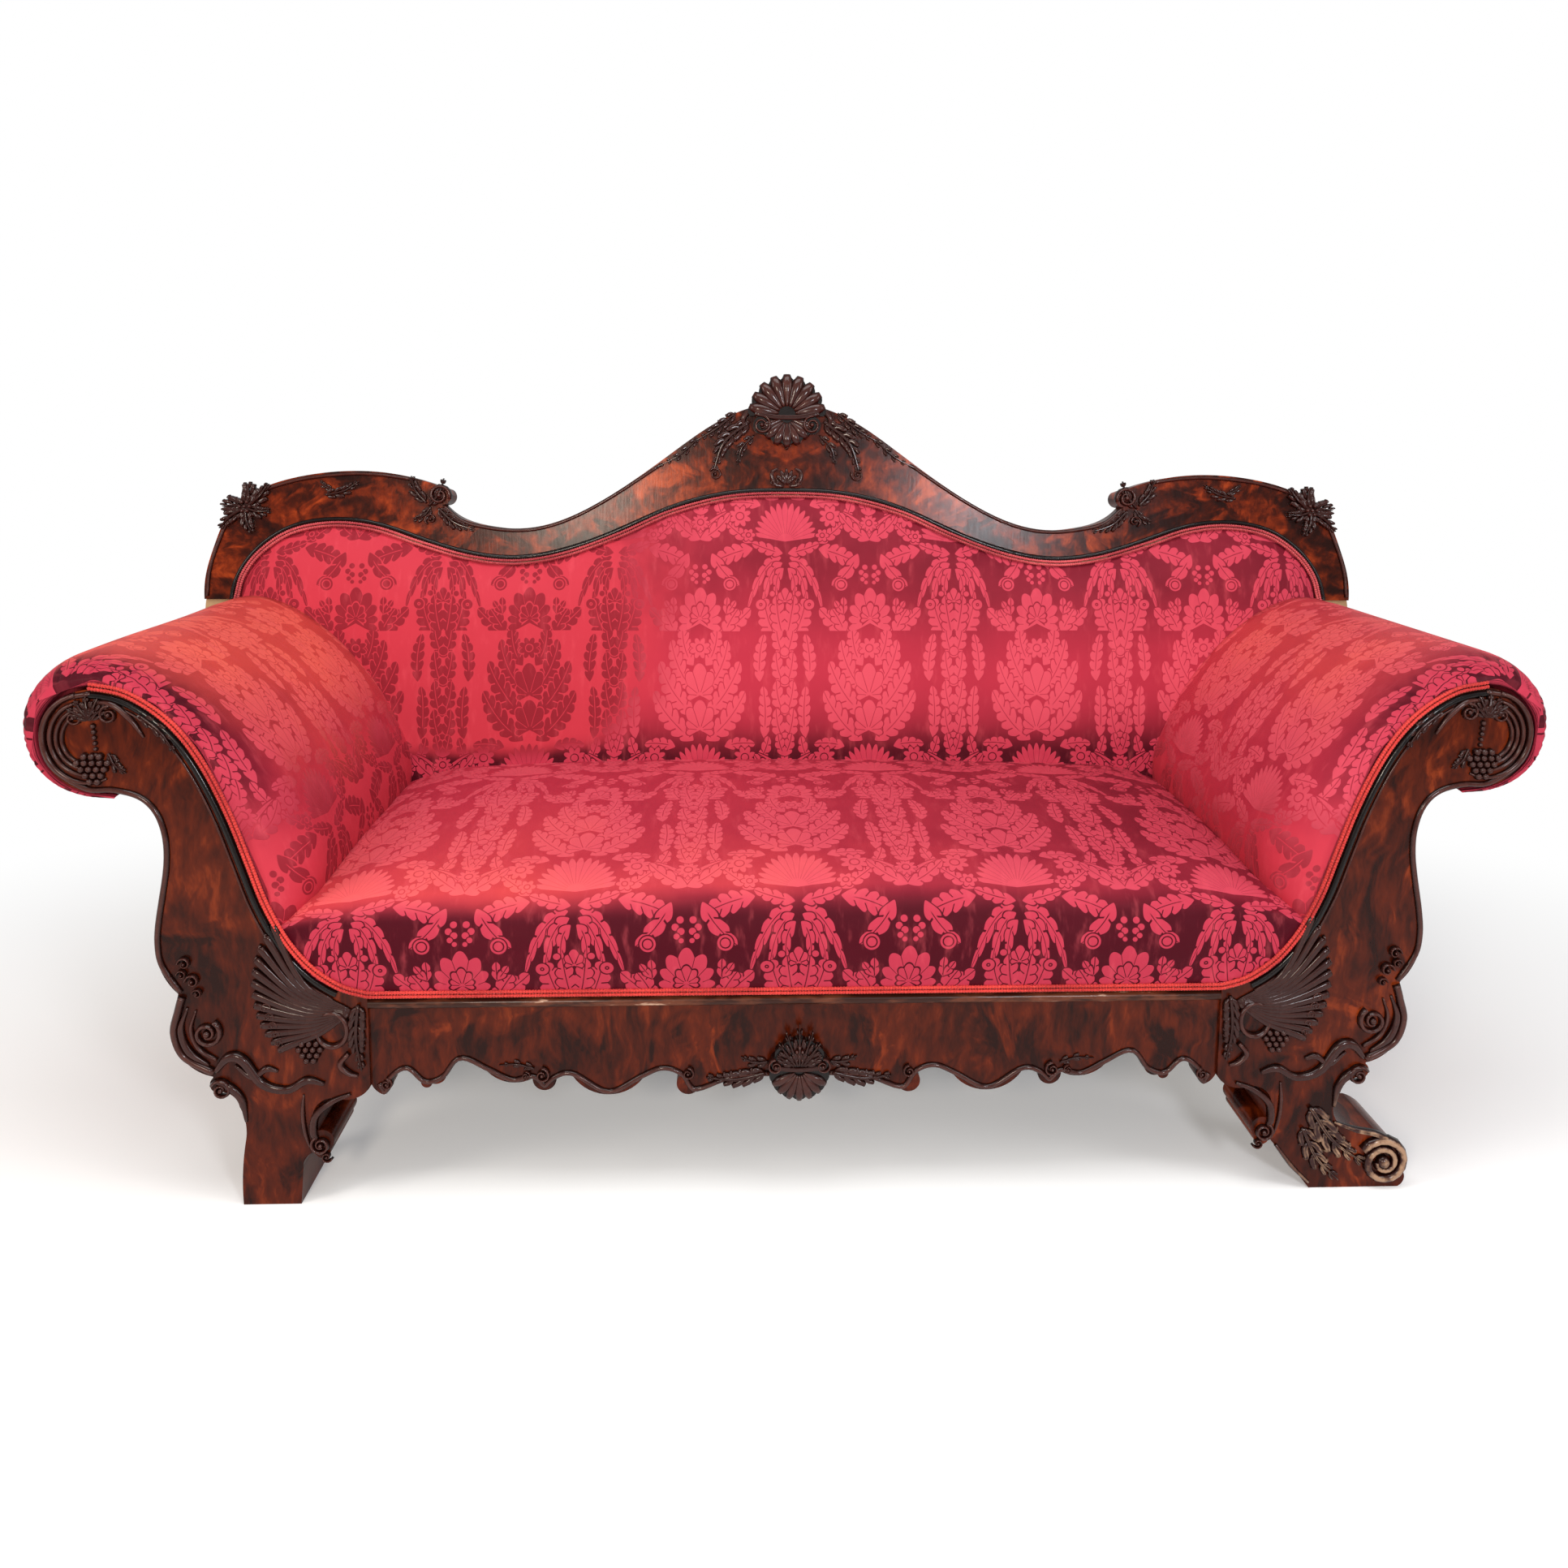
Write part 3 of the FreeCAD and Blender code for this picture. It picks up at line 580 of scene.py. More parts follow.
# The front feet's carving: a volute at the outer top, another on the inner side, and on the right
# foot the worn leaf and the scroll of the toe. The left foot has lost its toe.
foot_work = Carving(on_front)
foot_work.volute(820, 178, 15, 9, 1.4, 30, 1)
foot_work.stroke([(826, 190), (806, 180), (792, 160), (788, 128)], (6, 12, 12, 5), (7, 9, 8, 3), 0.2, 18)
foot_work.volute(684, 92, 14, 8, 1.5, 60, -1)
foot_work.volute(676, 74, 8, 7, 1.2, 200, 1)
foot_work.stroke([(640, 168), (668, 156), (690, 136), (694, 112), (690, 100)], (5, 9, 11, 11, 7),
                 (5, 8, 9, 9, 6), 0.2, 20)
foot_work.stroke([(706, 168), (708, 140), (706, 112), (700, 88)], (3, 7, 7, 4), (2, 5, 5, 3), 0, 16)
foot_work.build("foot_carving_left", dark_carving, mirror=True)
foot_work.volute(866, 42, 36, 10, 1.9, 150, -1)
foot_work.leaf((752, 128), (838, 40), -10, 34, 6, 8)
foot_work.leaf((742, 96), (800, 14), -8, 28, 5, 7)
foot_work.stroke([(790, 104), (822, 92), (856, 84), (886, 64), (897, 30)], (4, 9, 10, 9, 6),
                 (3, 7, 8, 8, 5), 0.2, 24)
foot_work.stroke([(704, 70), (730, 36), (756, 10)], (5, 7, 5), (4, 5, 4), 0, 14)
foot_work.build("foot_carving_right", worn_carving)

# The apron's carving: a moulded lip along the scalloped edge, the shell and palmette at the
# middle with a leaf spray on each side, and two small volutes further out.
apron_plane = -0.340
apron_edge = [(604, 178), (595, 163), (586, 170), (582, 186), (562, 199), (542, 181), (526, 178), (506, 188),
              (484, 213), (447, 196), (412, 179), (383, 184), (366, 170), (349, 183), (325, 187), (275, 159),
              (226, 182), (197, 194), (172, 186), (150, 161), (95, 180), (38, 184)]
apron_work = Carving(lambda x, out, z: (x, apron_plane - out, z))
for side in (1, -1):
    edge = smooth([(side * x, z) for x, z in apron_edge], 110)
    apron_work.stroke(beside(edge, side * 4), (8,), (5,), count=110)
    for x, wide in ((369, 11), (392, 7), (160, 9), (590, 9)):
        apron_work.volute(side * x, 190 if x < 500 else 180, wide, 7, 1.3, 90, side)
    apron_work.leaf((side * 48, 190), (side * 134, 184), -side * 6, 24, 6, 8)
    apron_work.leaf((side * 44, 206), (side * 84, 214), -side * 4, 16, 3, 6)
    apron_work.leaf((side * 380, 200), (side * 430, 206), side * 4, 12, 3, 5)
    apron_work.volute(side * 34, 206, 11, 10, 1.4, 90, -side, base=10)
apron_work.fan(0, 200, 8, 46, 200, 340, 7, 8, base=13)
for a in (-64, -42, -21, 0, 21, 42, 64):
    reach = 62 - abs(a) * 0.42
    tip = (reach * math.sin(math.radians(a)), 208 + reach * math.cos(math.radians(a)))
    apron_work.leaf((a * 0.12, 208), tip, 0, 17, 3, 9, base=12)
apron_work.stroke([(-36, 204), (0, 201), (36, 204)], (8,), (8,), 0.3, 10, base=12)
apron_work.grapes(0, 236, (1, 2, 3, 2), 4.2, 22)
apron_work.build("apron_carving", dark_carving)

# The crest's carving: the tall shell with its collar, scrolls and sprays, leaves that run down
# both slopes, and a small palmette over the back panel.
crest_work = Carving(on_back)
crest_work.fan(0, 1133, 16, 76, 2, 178, 9, 12, base=12)
crest_work.fan(0, 1128, 10, 55, 190, 350, 7, 9, base=11)
crest_work.stroke([(-60, 1136), (-30, 1130), (0, 1128), (30, 1130), (60, 1136)], (11,), (10,), 0.35, 16,
                  base=14)
for side in (1, -1):
    crest_work.volute(side * 47, 1114, 17, 11, 1.5, 80, side, base=12)
    crest_work.stroke([(side * 40, 1140), (side * 66, 1143), (side * 82, 1126), (side * 76, 1104)],
                      (6, 12, 12, 5), (8, 12, 11, 5), 0.2, 18)
    crest_work.leaf((side * 70, 1122), (side * 138, 1024), side * 16, 30, 7, 10)
    crest_work.volute(side * 134, 1022, 12, 8, 1.3, 150, side)
    crest_work.leaf((side * 62, 1096), (side * 92, 1040), side * 8, 18, 4, 8)
    crest_work.leaf((side * 96, 1138), (side * 176, 1082), -side * 4, 20, 6, 9)
    crest_work.leaf((side * 168, 1088), (side * 246, 1034), -side * 6, 15, 5, 7)
    crest_work.stroke([(side * 6, 1000), (side * 22, 1004), (side * 28, 1024), (side * 16, 1034)],
                      (5, 8, 8, 4), (5, 8, 8, 4), 0.2, 14)
    crest_work.volute(side * 24, 1008, 8, 7, 1.2, 60, side)
    slope = [(side * x, z) for x, z in ((236, 1040), (330, 978), (400, 940), (455, 921), (505, 915),
                                         (560, 920), (605, 932), (640, 960))]
    crest_work.stroke(slope, (7,), (4,), 0, 50)
for a in (-60, -30, 0, 30, 60):
    crest_work.stroke([(0, 1004), (22 * math.sin(math.radians(a)), 1008 + 26 * math.cos(math.radians(a)))],
                      (4, 9, 9, 3), (5, 8, 8, 4), 0.25, 8)
for k in range(4):
    crest_work.boss(0, 1098 - 9 * k, 5 - 0.5 * k, 12)
crest_work.build("crest_carving", dark_carving)

# The shoulders' carving: leaves that turn over the outer corner, a sprig at the top, and the ear
# with its volute where the shoulder meets the crest.
shoulder_work = Carving(on_back)
for tip, wide in (((962, 1000), 26), ((1000, 1000), 30), ((1046, 958), 28), ((1052, 918), 24),
                  ((960, 950), 22), ((992, 910), 22)):
    shoulder_work.leaf((1004, 956), tip, 4, wide, 4, 12)
shoulder_work.grapes(1004, 966, (2, 3, 2), 5, 15)
shoulder_work.leaf((858, 980), (796, 1006), 6, 20, 5, 8)
shoulder_work.leaf((846, 990), (868, 1008), -3, 12, 3, 7)
shoulder_work.volute(648, 980, 20, 10, 1.5, 200, -1)
shoulder_work.leaf((672, 966), (700, 1016), -6, 22, 4, 10)
shoulder_work.leaf((668, 960), (640, 1012), 6, 20, 4, 10)
shoulder_work.leaf((664, 958), (696, 934), -5, 18, 4, 8)
shoulder_work.leaf((650, 956), (582, 916), 8, 22, 6, 9)
shoulder_work.volute(664, 936, 11, 8, 1.3, 300, 1)
shoulder_edge = [(700, 1010), (760, 1018), (820, 1019), (908, 1008), (985, 982), (1030, 944), (1056, 890),
                 (1072, 838), (1076, 792)]
shoulder_work.stroke(shoulder_edge, (7,), (4,), 0, 50)
shoulder_work.build("shoulder_carving_right", dark_carving)
shoulder_work.build("shoulder_carving_left", dark_carving, mirror=True)


# The half-round along the apron's top, whose polish is rubbed through to pale wood in places.
def rubbed_moulding():
    wood = Finish("rubbed_moulding", 0.25, coat=0.15)
    patches = wood.noise(wood.place((14, 60, 60)), 1.0, 4.0, 0.6)
    colour = wood.mix(patches.step(0.42, 0.60), (0.030, 0.007, 0.003), (0.13, 0.034, 0.014))
    colour = wood.mix(patches.step(0.60, 0.68), colour, (0.52, 0.32, 0.22))
    return wood.done(colour, 0.25 + patches * 0.2, patches, 0.0003)


dress(rubbed_moulding(), "rail_moulding")

# Gimp: two silk cords side by side, glued and pinned over the raw edge of the cover. Each cord is
# wound in slanting ribs. One run goes up both arms and along the seat, one round the back.
cord_radius, cord_step, rib_pitch = 0.0029, 6.0, 0.0042


def ribbed_cord_tree():
    tree = bpy.data.node_groups.new("ribbed_cord", "GeometryNodeTree")
    face = tree.interface
    face.new_socket("Geometry", in_out="INPUT", socket_type="NodeSocketGeometry")
    face.new_socket("Geometry", in_out="OUTPUT", socket_type="NodeSocketGeometry")
    for name, value in (("Radius", cord_radius), ("Pitch", rib_pitch)):
        face.new_socket(name, in_out="INPUT", socket_type="NodeSocketFloat").default_value = value
    face.new_socket("Finish", in_out="INPUT", socket_type="NodeSocketMaterial")
    nodes, links = tree.nodes, tree.links
    given, result = nodes.new("NodeGroupInput"), nodes.new("NodeGroupOutput")
    curve, ribs = nodes.new("GeometryNodeMeshToCurve"), nodes.new("GeometryNodeResampleCurve")
    ribs.mode = "LENGTH"
    tangent, turn = nodes.new("GeometryNodeInputTangent"), nodes.new("FunctionNodeAlignEulerToVector")
    turn.axis = "Z"
    slant = nodes.new("FunctionNodeRotateEuler")
    slant.space = "LOCAL"
    slant.inputs["Rotate By"].default_value = (math.radians(38), 0, 0)
    bead, size = nodes.new("GeometryNodeMeshUVSphere"), nodes.new("ShaderNodeCombineXYZ")
    bead.inputs["Segments"].default_value = 8
    bead.inputs["Rings"].default_value = 4
    bead.inputs["Radius"].default_value = 1.0
    thick, spread = nodes.new("ShaderNodeMath"), nodes.new("GeometryNodeInstanceOnPoints")
    thick.operation = "MULTIPLY"
    thick.inputs[1].default_value = 0.62
    tube, ring = nodes.new("GeometryNodeCurveToMesh"), nodes.new("GeometryNodeCurvePrimitiveCircle")
    ring.inputs["Resolution"].default_value = 6
    inner, both_parts = nodes.new("ShaderNodeMath"), nodes.new("GeometryNodeJoinGeometry")
    inner.operation = "MULTIPLY"
    inner.inputs[1].default_value = 0.7
    real, paint = nodes.new("GeometryNodeRealizeInstances"), nodes.new("GeometryNodeSetMaterial")
    tube.inputs["Fill Caps"].default_value = True
    for a, b in ((given.outputs["Geometry"], curve.inputs["Mesh"]), (curve.outputs[0], ribs.inputs["Curve"]),
                 (given.outputs["Pitch"], ribs.inputs["Length"]), (tangent.outputs[0], turn.inputs["Vector"]),
                 (turn.outputs[0], slant.inputs["Rotation"]), (ribs.outputs[0], spread.inputs["Points"]),
                 (bead.outputs["Mesh"], spread.inputs["Instance"]),
                 (slant.outputs[0], spread.inputs["Rotation"]),
                 (given.outputs["Radius"], size.inputs[0]), (given.outputs["Radius"], size.inputs[1]),
                 (given.outputs["Pitch"], thick.inputs[0]), (thick.outputs[0], size.inputs[2]),
                 (size.outputs[0], spread.inputs["Scale"]), (curve.outputs[0], tube.inputs["Curve"]),
                 (given.outputs["Radius"], inner.inputs[0]), (inner.outputs[0], ring.inputs["Radius"]),
                 (ring.outputs[0], tube.inputs["Profile Curve"]), (tube.outputs[0], both_parts.inputs[0]),
                 (spread.outputs[0], both_parts.inputs[0]), (both_parts.outputs[0], real.inputs[0]),
                 (real.outputs[0], paint.inputs["Geometry"]),
                 (given.outputs["Finish"], paint.inputs["Material"]),
                 (paint.outputs[0], result.inputs[0])):
        links.new(a, b)
    return tree


ribbed_cord = ribbed_cord_tree()


def cords(name, runs, material):
    """A mesh of ribbed cords along runs of points."""
    points, edges = [], []
    for run in runs:
        first = len(points)
        points += [tuple(p) for p in run]
        edges += [(first + i, first + i + 1) for i in range(len(run) - 1)]
    mesh = bpy.data.meshes.new(name)
    mesh.from_pydata(points, edges, [])
    piece = bpy.data.objects.new(name, mesh)
    bpy.context.scene.collection.objects.link(piece)
    maker = piece.modifiers.new("ribs", "NODES")
    maker.node_group = ribbed_cord
    for item in ribbed_cord.interface.items_tree:
        if item.name == "Finish":
            maker[item.identifier] = material
    made = bpy.data.meshes.new_from_object(piece.evaluated_get(bpy.context.evaluated_depsgraph_get()))
    piece.modifiers.clear()
    piece.data = made
    made.name = name
    made.polygons.foreach_set("use_smooth", [True] * len(made.polygons))
    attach(piece, "root")
    return piece


def silk_cord(name, colour, shade):
    silk = Finish(name, 0.45, sheen=0.3, sheen_tint=(1.0, 0.5, 0.45))
    fleck = silk.noise(silk.place(), 500.0, 2.0)
    fade = silk.noise(silk.place(), 6.0, 2.0)
    tone = silk.mix((fleck + fade).step(0.75, 1.25), shade, colour)
    return silk.done(tone, None, fleck, 0.0003)


opening = [(0, 997), (110, 991), (220, 963), (320, 919), (420, 883), (505, 869), (590, 877), (680, 903),
           (765, 931), (846, 939), (925, 924), (985, 885), (1021, 838), (1036, 786)]
whole_opening = smooth([(-x, z) for x, z in reversed(opening[1:])] + opening, 240)
front_runs = []
for k in (0, 1):
    offset = -3 - cord_step * k
    right = beside(smooth(facing_inner, 70), offset)
    left = right[::-1] * (-1, 1)
    line = even(np.vstack([left, right]) / 1000, 0.006)
    front_runs.append([(x, front_plane - 0.0045, z) for x, z in line])
back_runs = []
for k in (0, 1):
    line = even(beside(whole_opening, 10 + cord_step * k) / 1000, 0.006)
    back_runs.append([on_back(x, 0.011 + 0.002 * k, z, back_plane) for x, z in line])
front_gimp = cords("gimp_front", front_runs, silk_cord("gimp_silk", (0.66, 0.050, 0.040), (0.36, 0.02, 0.02)))
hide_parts("front_gimp")
back_gimp = cords("gimp_back", back_runs, silk_cord("gimp_faded", (0.62, 0.10, 0.11), (0.30, 0.03, 0.04)))
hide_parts("back_gimp")


# Damask: a woven figure of palmettes, vases under drooping leaves and fan shells, about 32 cm
# across, painted lighter and darker than its ground as the light falls on the satin.
class Figure:
    """The woven figure. Sizes are in centimetres, from the middle line of a vase."""

    def __init__(self, cloth, u, v):
        self.cloth, self.u, self.v = cloth, u, v
        self.found = None

    def keep(self, shape, outline=0.2):
        """Lays a shape over the others, with a dark outline round it."""
        if self.found is not None:
            shape = shape.most(self.found.least(shape * -1 - outline))
        self.found = shape

    def leaf(self, x, y, angle, length, width, bend=0.0, lobes=0):
        """A leaf that bends sideways, with lobes and veins that slant towards its tip."""
        a = math.radians(angle)
        du, dv = self.u - x, self.v - y
        along = du * (math.cos(a) / length) + dv * (math.sin(a) / length)
        off = dv * math.cos(a) - du * math.sin(a) - along * along * bend
        aside = off.abs()
        beyond = ((along - 0.5).abs() - 0.5).most(0.0) * (2 * length)
        reach = (along * (1.02 - along)).most(0.0) ** 0.6 * (2.2 * width) - beyond
        shape = reach - aside
        if lobes:
            slant = (along * lobes - aside * (0.55 * lobes / length)) * math.pi
            wave = slant.sine().abs()
            veins = (wave - 0.2).most(0.28 * width - aside) * 0.8
            shape = (reach * (wave * 0.34 + 0.72) - aside).least(veins)
        self.keep(shape.least((aside - 0.07).most(0.25 - along)))

    def polar(self, x, y):
        """Distance from a point, and the angle round it from straight up."""
        du, dv = self.u - x, self.v - y
        far = (du * du + dv * dv) ** 0.5
        return far, self.cloth.add("ShaderNodeMath", {"operation": "ARCTAN2"}, du, dv)

    def fan(self, x, y, short, tall, half_turn, petals, hollow=0.25, outline=0.2):
        """A shell or palmette of rounded flutes, taller in the middle."""
        far, turn = self.polar(x, y)
        middle_petal = math.pi * (petals % 2) / 2
        wave = (turn * (petals * math.pi / math.radians(2 * half_turn)) + middle_petal).sine().abs()
        middle = turn.cosine().most(0.0) ** 2.5
        edge = (wave * 0.2 + 0.8) * (middle * (tall - short) + short)
        groove = (wave * far * 0.55 - 0.16).most(hollow * short - far)
        self.keep((edge - far).least(groove).least((math.radians(half_turn) - turn.abs()) * short), outline)

    def ring(self, x, y, radius, thick):
        far, turn = self.polar(x, y)
        self.keep(thick - (far - radius).abs())

    def dot(self, x, y, radius):
        far, turn = self.polar(x, y)
        self.keep(radius - far, 0.15)

    def daisy(self, x, y, radius, petals=8):
        far, turn = self.polar(x, y)
        wave = (turn * (petals / 2)).sine().abs()
        heart = (far - 0.36 * radius).abs() - 0.09
        self.keep(((wave * 0.42 + 0.62) * radius - far).least(heart))


repeat_wide, repeat_tall = 31.6, 45.0


def woven_figure(cloth, across, up):
    """1 on the figure and 0 on the ground. Each row of it stands half a repeat beside the last."""
    rise = up * 100
    row = (rise / repeat_tall).floor()
    half = repeat_wide / 2
    u = (across * 100 + row * half).fold(repeat_wide)
    made = Figure(cloth, u, rise - row * repeat_tall)
    # medallion of arching leaves over the fan, with a tall flower in it, and a column beside it
    for base, angle, length, width in ((38.6, 52, 7.6, 1.5), (34.0, 46, 9.4, 1.7), (29.4, 40, 11.0, 1.9),
                                       (24.6, 34, 11.0, 2.0)):
        made.leaf(1.2, base, angle, length, width, 3.4, 6)
    made.leaf(11.9, 25.0, 82, 9.5, 1.2, 1.4, 5)
    made.leaf(11.2, 35.6, 96, 8.6, 1.2, -1.6, 5)
    for base in (40.0, 34.6, 29.2, 24.0):
        made.leaf(half, base, 118, 6.4, 1.3, -1.6, 4)
        made.dot(half, base + 1.2, 0.8)
    made.fan(0, 26.5, 2.6, 5.6, 120, 7)
    made.fan(0, 33.0, 2.4, 6.0, 120, 7)
    made.daisy(0, 41.8, 1.9)
    # fan shell and daisies in leaves, crossing stems and a flower
    made.leaf(4.6, 23.4, 20, 5.4, 1.2, -1.4, 4)
    made.leaf(6.0, 16.4, 28, 6.4, 1.1, 1.2, 4)
    made.leaf(11.2, 20.8, 58, 4.6, 1.0, 1.0, 3)
    made.fan(0, 16.6, 6.0, 7.4, 82, 15)
    made.daisy(8.4, 21.4, 2.0)
    made.daisy(6.9, 17.8, 1.2, 6)
    made.leaf(half + 1.2, 16.6, 128, 8.2, 0.65, 1.5)
    made.leaf(half, 17.0, 158, 7.0, 1.3, -2.4, 4)
    made.daisy(half, 20.2, 1.6, 10)
    made.leaf(half, 21.6, 118, 4.2, 1.0, -0.8, 3)
    # scroll leaves that turn over into hooks, and the berries between them
    made.leaf(6.2, 15.2, -8, 7.8, 1.7, -1.6, 5)
    made.leaf(13.6, 14.4, -112, 7.4, 1.25, -2.2, 3)
    made.dot(10.4, 8.6, 1.05)
    made.ring(10.4, 8.6, 1.0, 0.16)
    for x, y, size in ((0.9, 11.9, 0.5), (1.6, 10.9, 0.5), (0.8, 10.3, 0.5), (1.4, 9.6, 0.42),
                       (0.75, 9.0, 0.36)):
        made.dot(half - x, y, size)
    # vase with leafy sides under its drooping canopy
    made.leaf(0.8, 13.6, -10, 7.6, 1.35, -8.0, 5)
    made.leaf(0.6, 12.6, -22, 6.4, 1.2, -6.4, 4)
    made.leaf(0.4, 11.6, -38, 4.6, 1.0, -3.8, 3)
    made.leaf(0.5, 14.4, 10, 6.0, 1.1, 0.8, 4)
    made.leaf(1.0, -2.4, 60, 8.6, 2.0, 1.6, 5)
    made.ring(4.5, 4.9, 0.62, 0.3)
    made.leaf(0.1, -2.0, 74, 8.6, 1.5, 0.9, 5)
    made.fan(0, 5.4, 1.3, 2.6, 110, 5)
    made.dot(2.4, 6.9, 0.5)
    # crowned palmette between two sprays
    made.leaf(half - 3.4, -0.8, 150, 7.6, 1.6, -1.2, 4)
    made.leaf(half - 4.6, -0.4, 112, 5.0, 1.3, 0.6, 3)
    made.leaf(half - 5.0, 3.0, 84, 3.2, 0.7, 0.3, 2)
    made.leaf(half - 5.0, 3.2, 128, 2.8, 0.6, -0.2, 2)
    made.fan(half, 1.4, 4.0, 6.6, 118, 9, hollow=0.62)
    made.fan(half, 2.2, 1.7, 3.0, 120, 7, outline=0.3)
    return made.found.step(-0.05, 0.05)


def damask_cloth():
    """Satin ground and matt figure, with painted sheen and painted shade. Each pad says where painted light
    lifts, turns or warms them, and a lift below zero paints shade into creases.
    """
    cloth = Finish("damask", 0.5, sheen=0.03, sheen_tint=(1.0, 0.3, 0.35))
    cloth.skin.inputs["Specular IOR Level"].default_value = 0.08
    wobble = cloth.noise(cloth.place(), 7.0, 2.0) * 0.6
    across, up, none = cloth.split(cloth.place(cloth=True))
    figure = woven_figure(cloth, across + wobble * 0.01, up + wobble * 0.008)
    # The pad's cast attribute holds painted light: a painted sheen that lifts the colours, a painted sheen
    # that swaps figure and ground, and a warm painted sheen.
    cast = cloth.add("ShaderNodeAttribute", {"attribute_name": "cast"}, out=1)
    cloud = cloth.noise(cloth.place(), 4.5, 4.0, 0.6)
    lift, turn, warm_sheen = cloth.split(cast)
    # Painted shade: where the lift falls below zero, in the creases of the gathers, the cloth is later
    # darkened nearly to black.
    crease = (lift * -1).step(0.2, 0.9) * 0.75
    lift = (lift + cloud * 0.5 - 0.25).step(0.0, 1.0)
    turn = (turn + cloud * 0.7 - 0.35).step(0.3, 0.7)
    # Painted sheen: lit and shaded copies of figure and ground, lighter as the lift rises, and swapped in
    # tone where the sheen turns.
    matt = cloth.mix(lift, (0.46, 0.034, 0.066), (0.66, 0.080, 0.118))
    satin = cloth.mix(lift, (0.062, 0.0016, 0.0075), (0.47, 0.030, 0.058))
    matt = cloth.mix(turn, matt, (0.26, 0.016, 0.028))
    satin = cloth.mix(turn, satin, (0.52, 0.036, 0.058))
    colour = cloth.mix(figure, satin, matt)
    # Painted sheen: a warm coral sheen laid over figure and ground where the pad asks for it.
    warm = cloth.mix(figure, (0.68, 0.075, 0.055), (0.84, 0.135, 0.090))
    colour = cloth.mix((warm_sheen + cloud * 0.6 - 0.3).step(0.1, 1.0), colour, warm)
    streak = cloth.noise(cloth.place((10, 3, 1), cloth=True), 6.0, 3.0)
    colour = cloth.mix(streak.step(0.5, 0.85) * 0.3, colour, (0.74, 0.10, 0.13))
    # Painted shade in the creases.
    colour = cloth.mix(crease, colour, (0.030, 0.001, 0.004))
    rib = (across * (200 * math.pi / 0.11)).sine() * (up * (200 * math.pi / 0.13)).sine()
    return cloth.done(colour, figure * 0.14 + 0.40, rib * 0.25 + figure * 0.7, 0.0003)


def skin_of(rows, name, material, marks, casts):
    """A closed shell from rings of points, with the cloth's two coordinates and its cast of light."""
    grid = np.array(rows)
    count, around = grid.shape[:2]
    points = grid.reshape(-1, 3)
    faces = []
    for i in range(count - 1):
        for k in range(around):
            a, b = i * around + k, i * around + (k + 1) % around
            faces.append((a, b, b + around, a + around))
    faces.append(tuple(range(around)))
    faces.append(tuple(range((count - 1) * around, count * around)))
    mesh = bpy.data.meshes.new(name)
    mesh.from_pydata(points.tolist(), [], faces)
    flat = np.array(marks).reshape(-1, 2)
    mesh.attributes.new("cast", "FLOAT_VECTOR", "POINT").data.foreach_set("vector", np.array(casts).ravel())
    layer = mesh.uv_layers.new(name="cloth")
    corner = np.zeros(len(mesh.loops), int)
    mesh.loops.foreach_get("vertex_index", corner)
    layer.data.foreach_set("uv", flat[corner].ravel())
    shape = bmesh.new()
    shape.from_mesh(mesh)
    bmesh.ops.recalc_face_normals(shape, faces=shape.faces)
    shape.to_mesh(mesh)
    shape.free()
    mesh.materials.append(material)
    mesh.polygons.foreach_set("use_smooth", [True] * len(mesh.polygons))
    piece = bpy.data.objects.new(name, mesh)
    bpy.context.scene.collection.objects.link(piece)
    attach(piece, "root")
    return piece


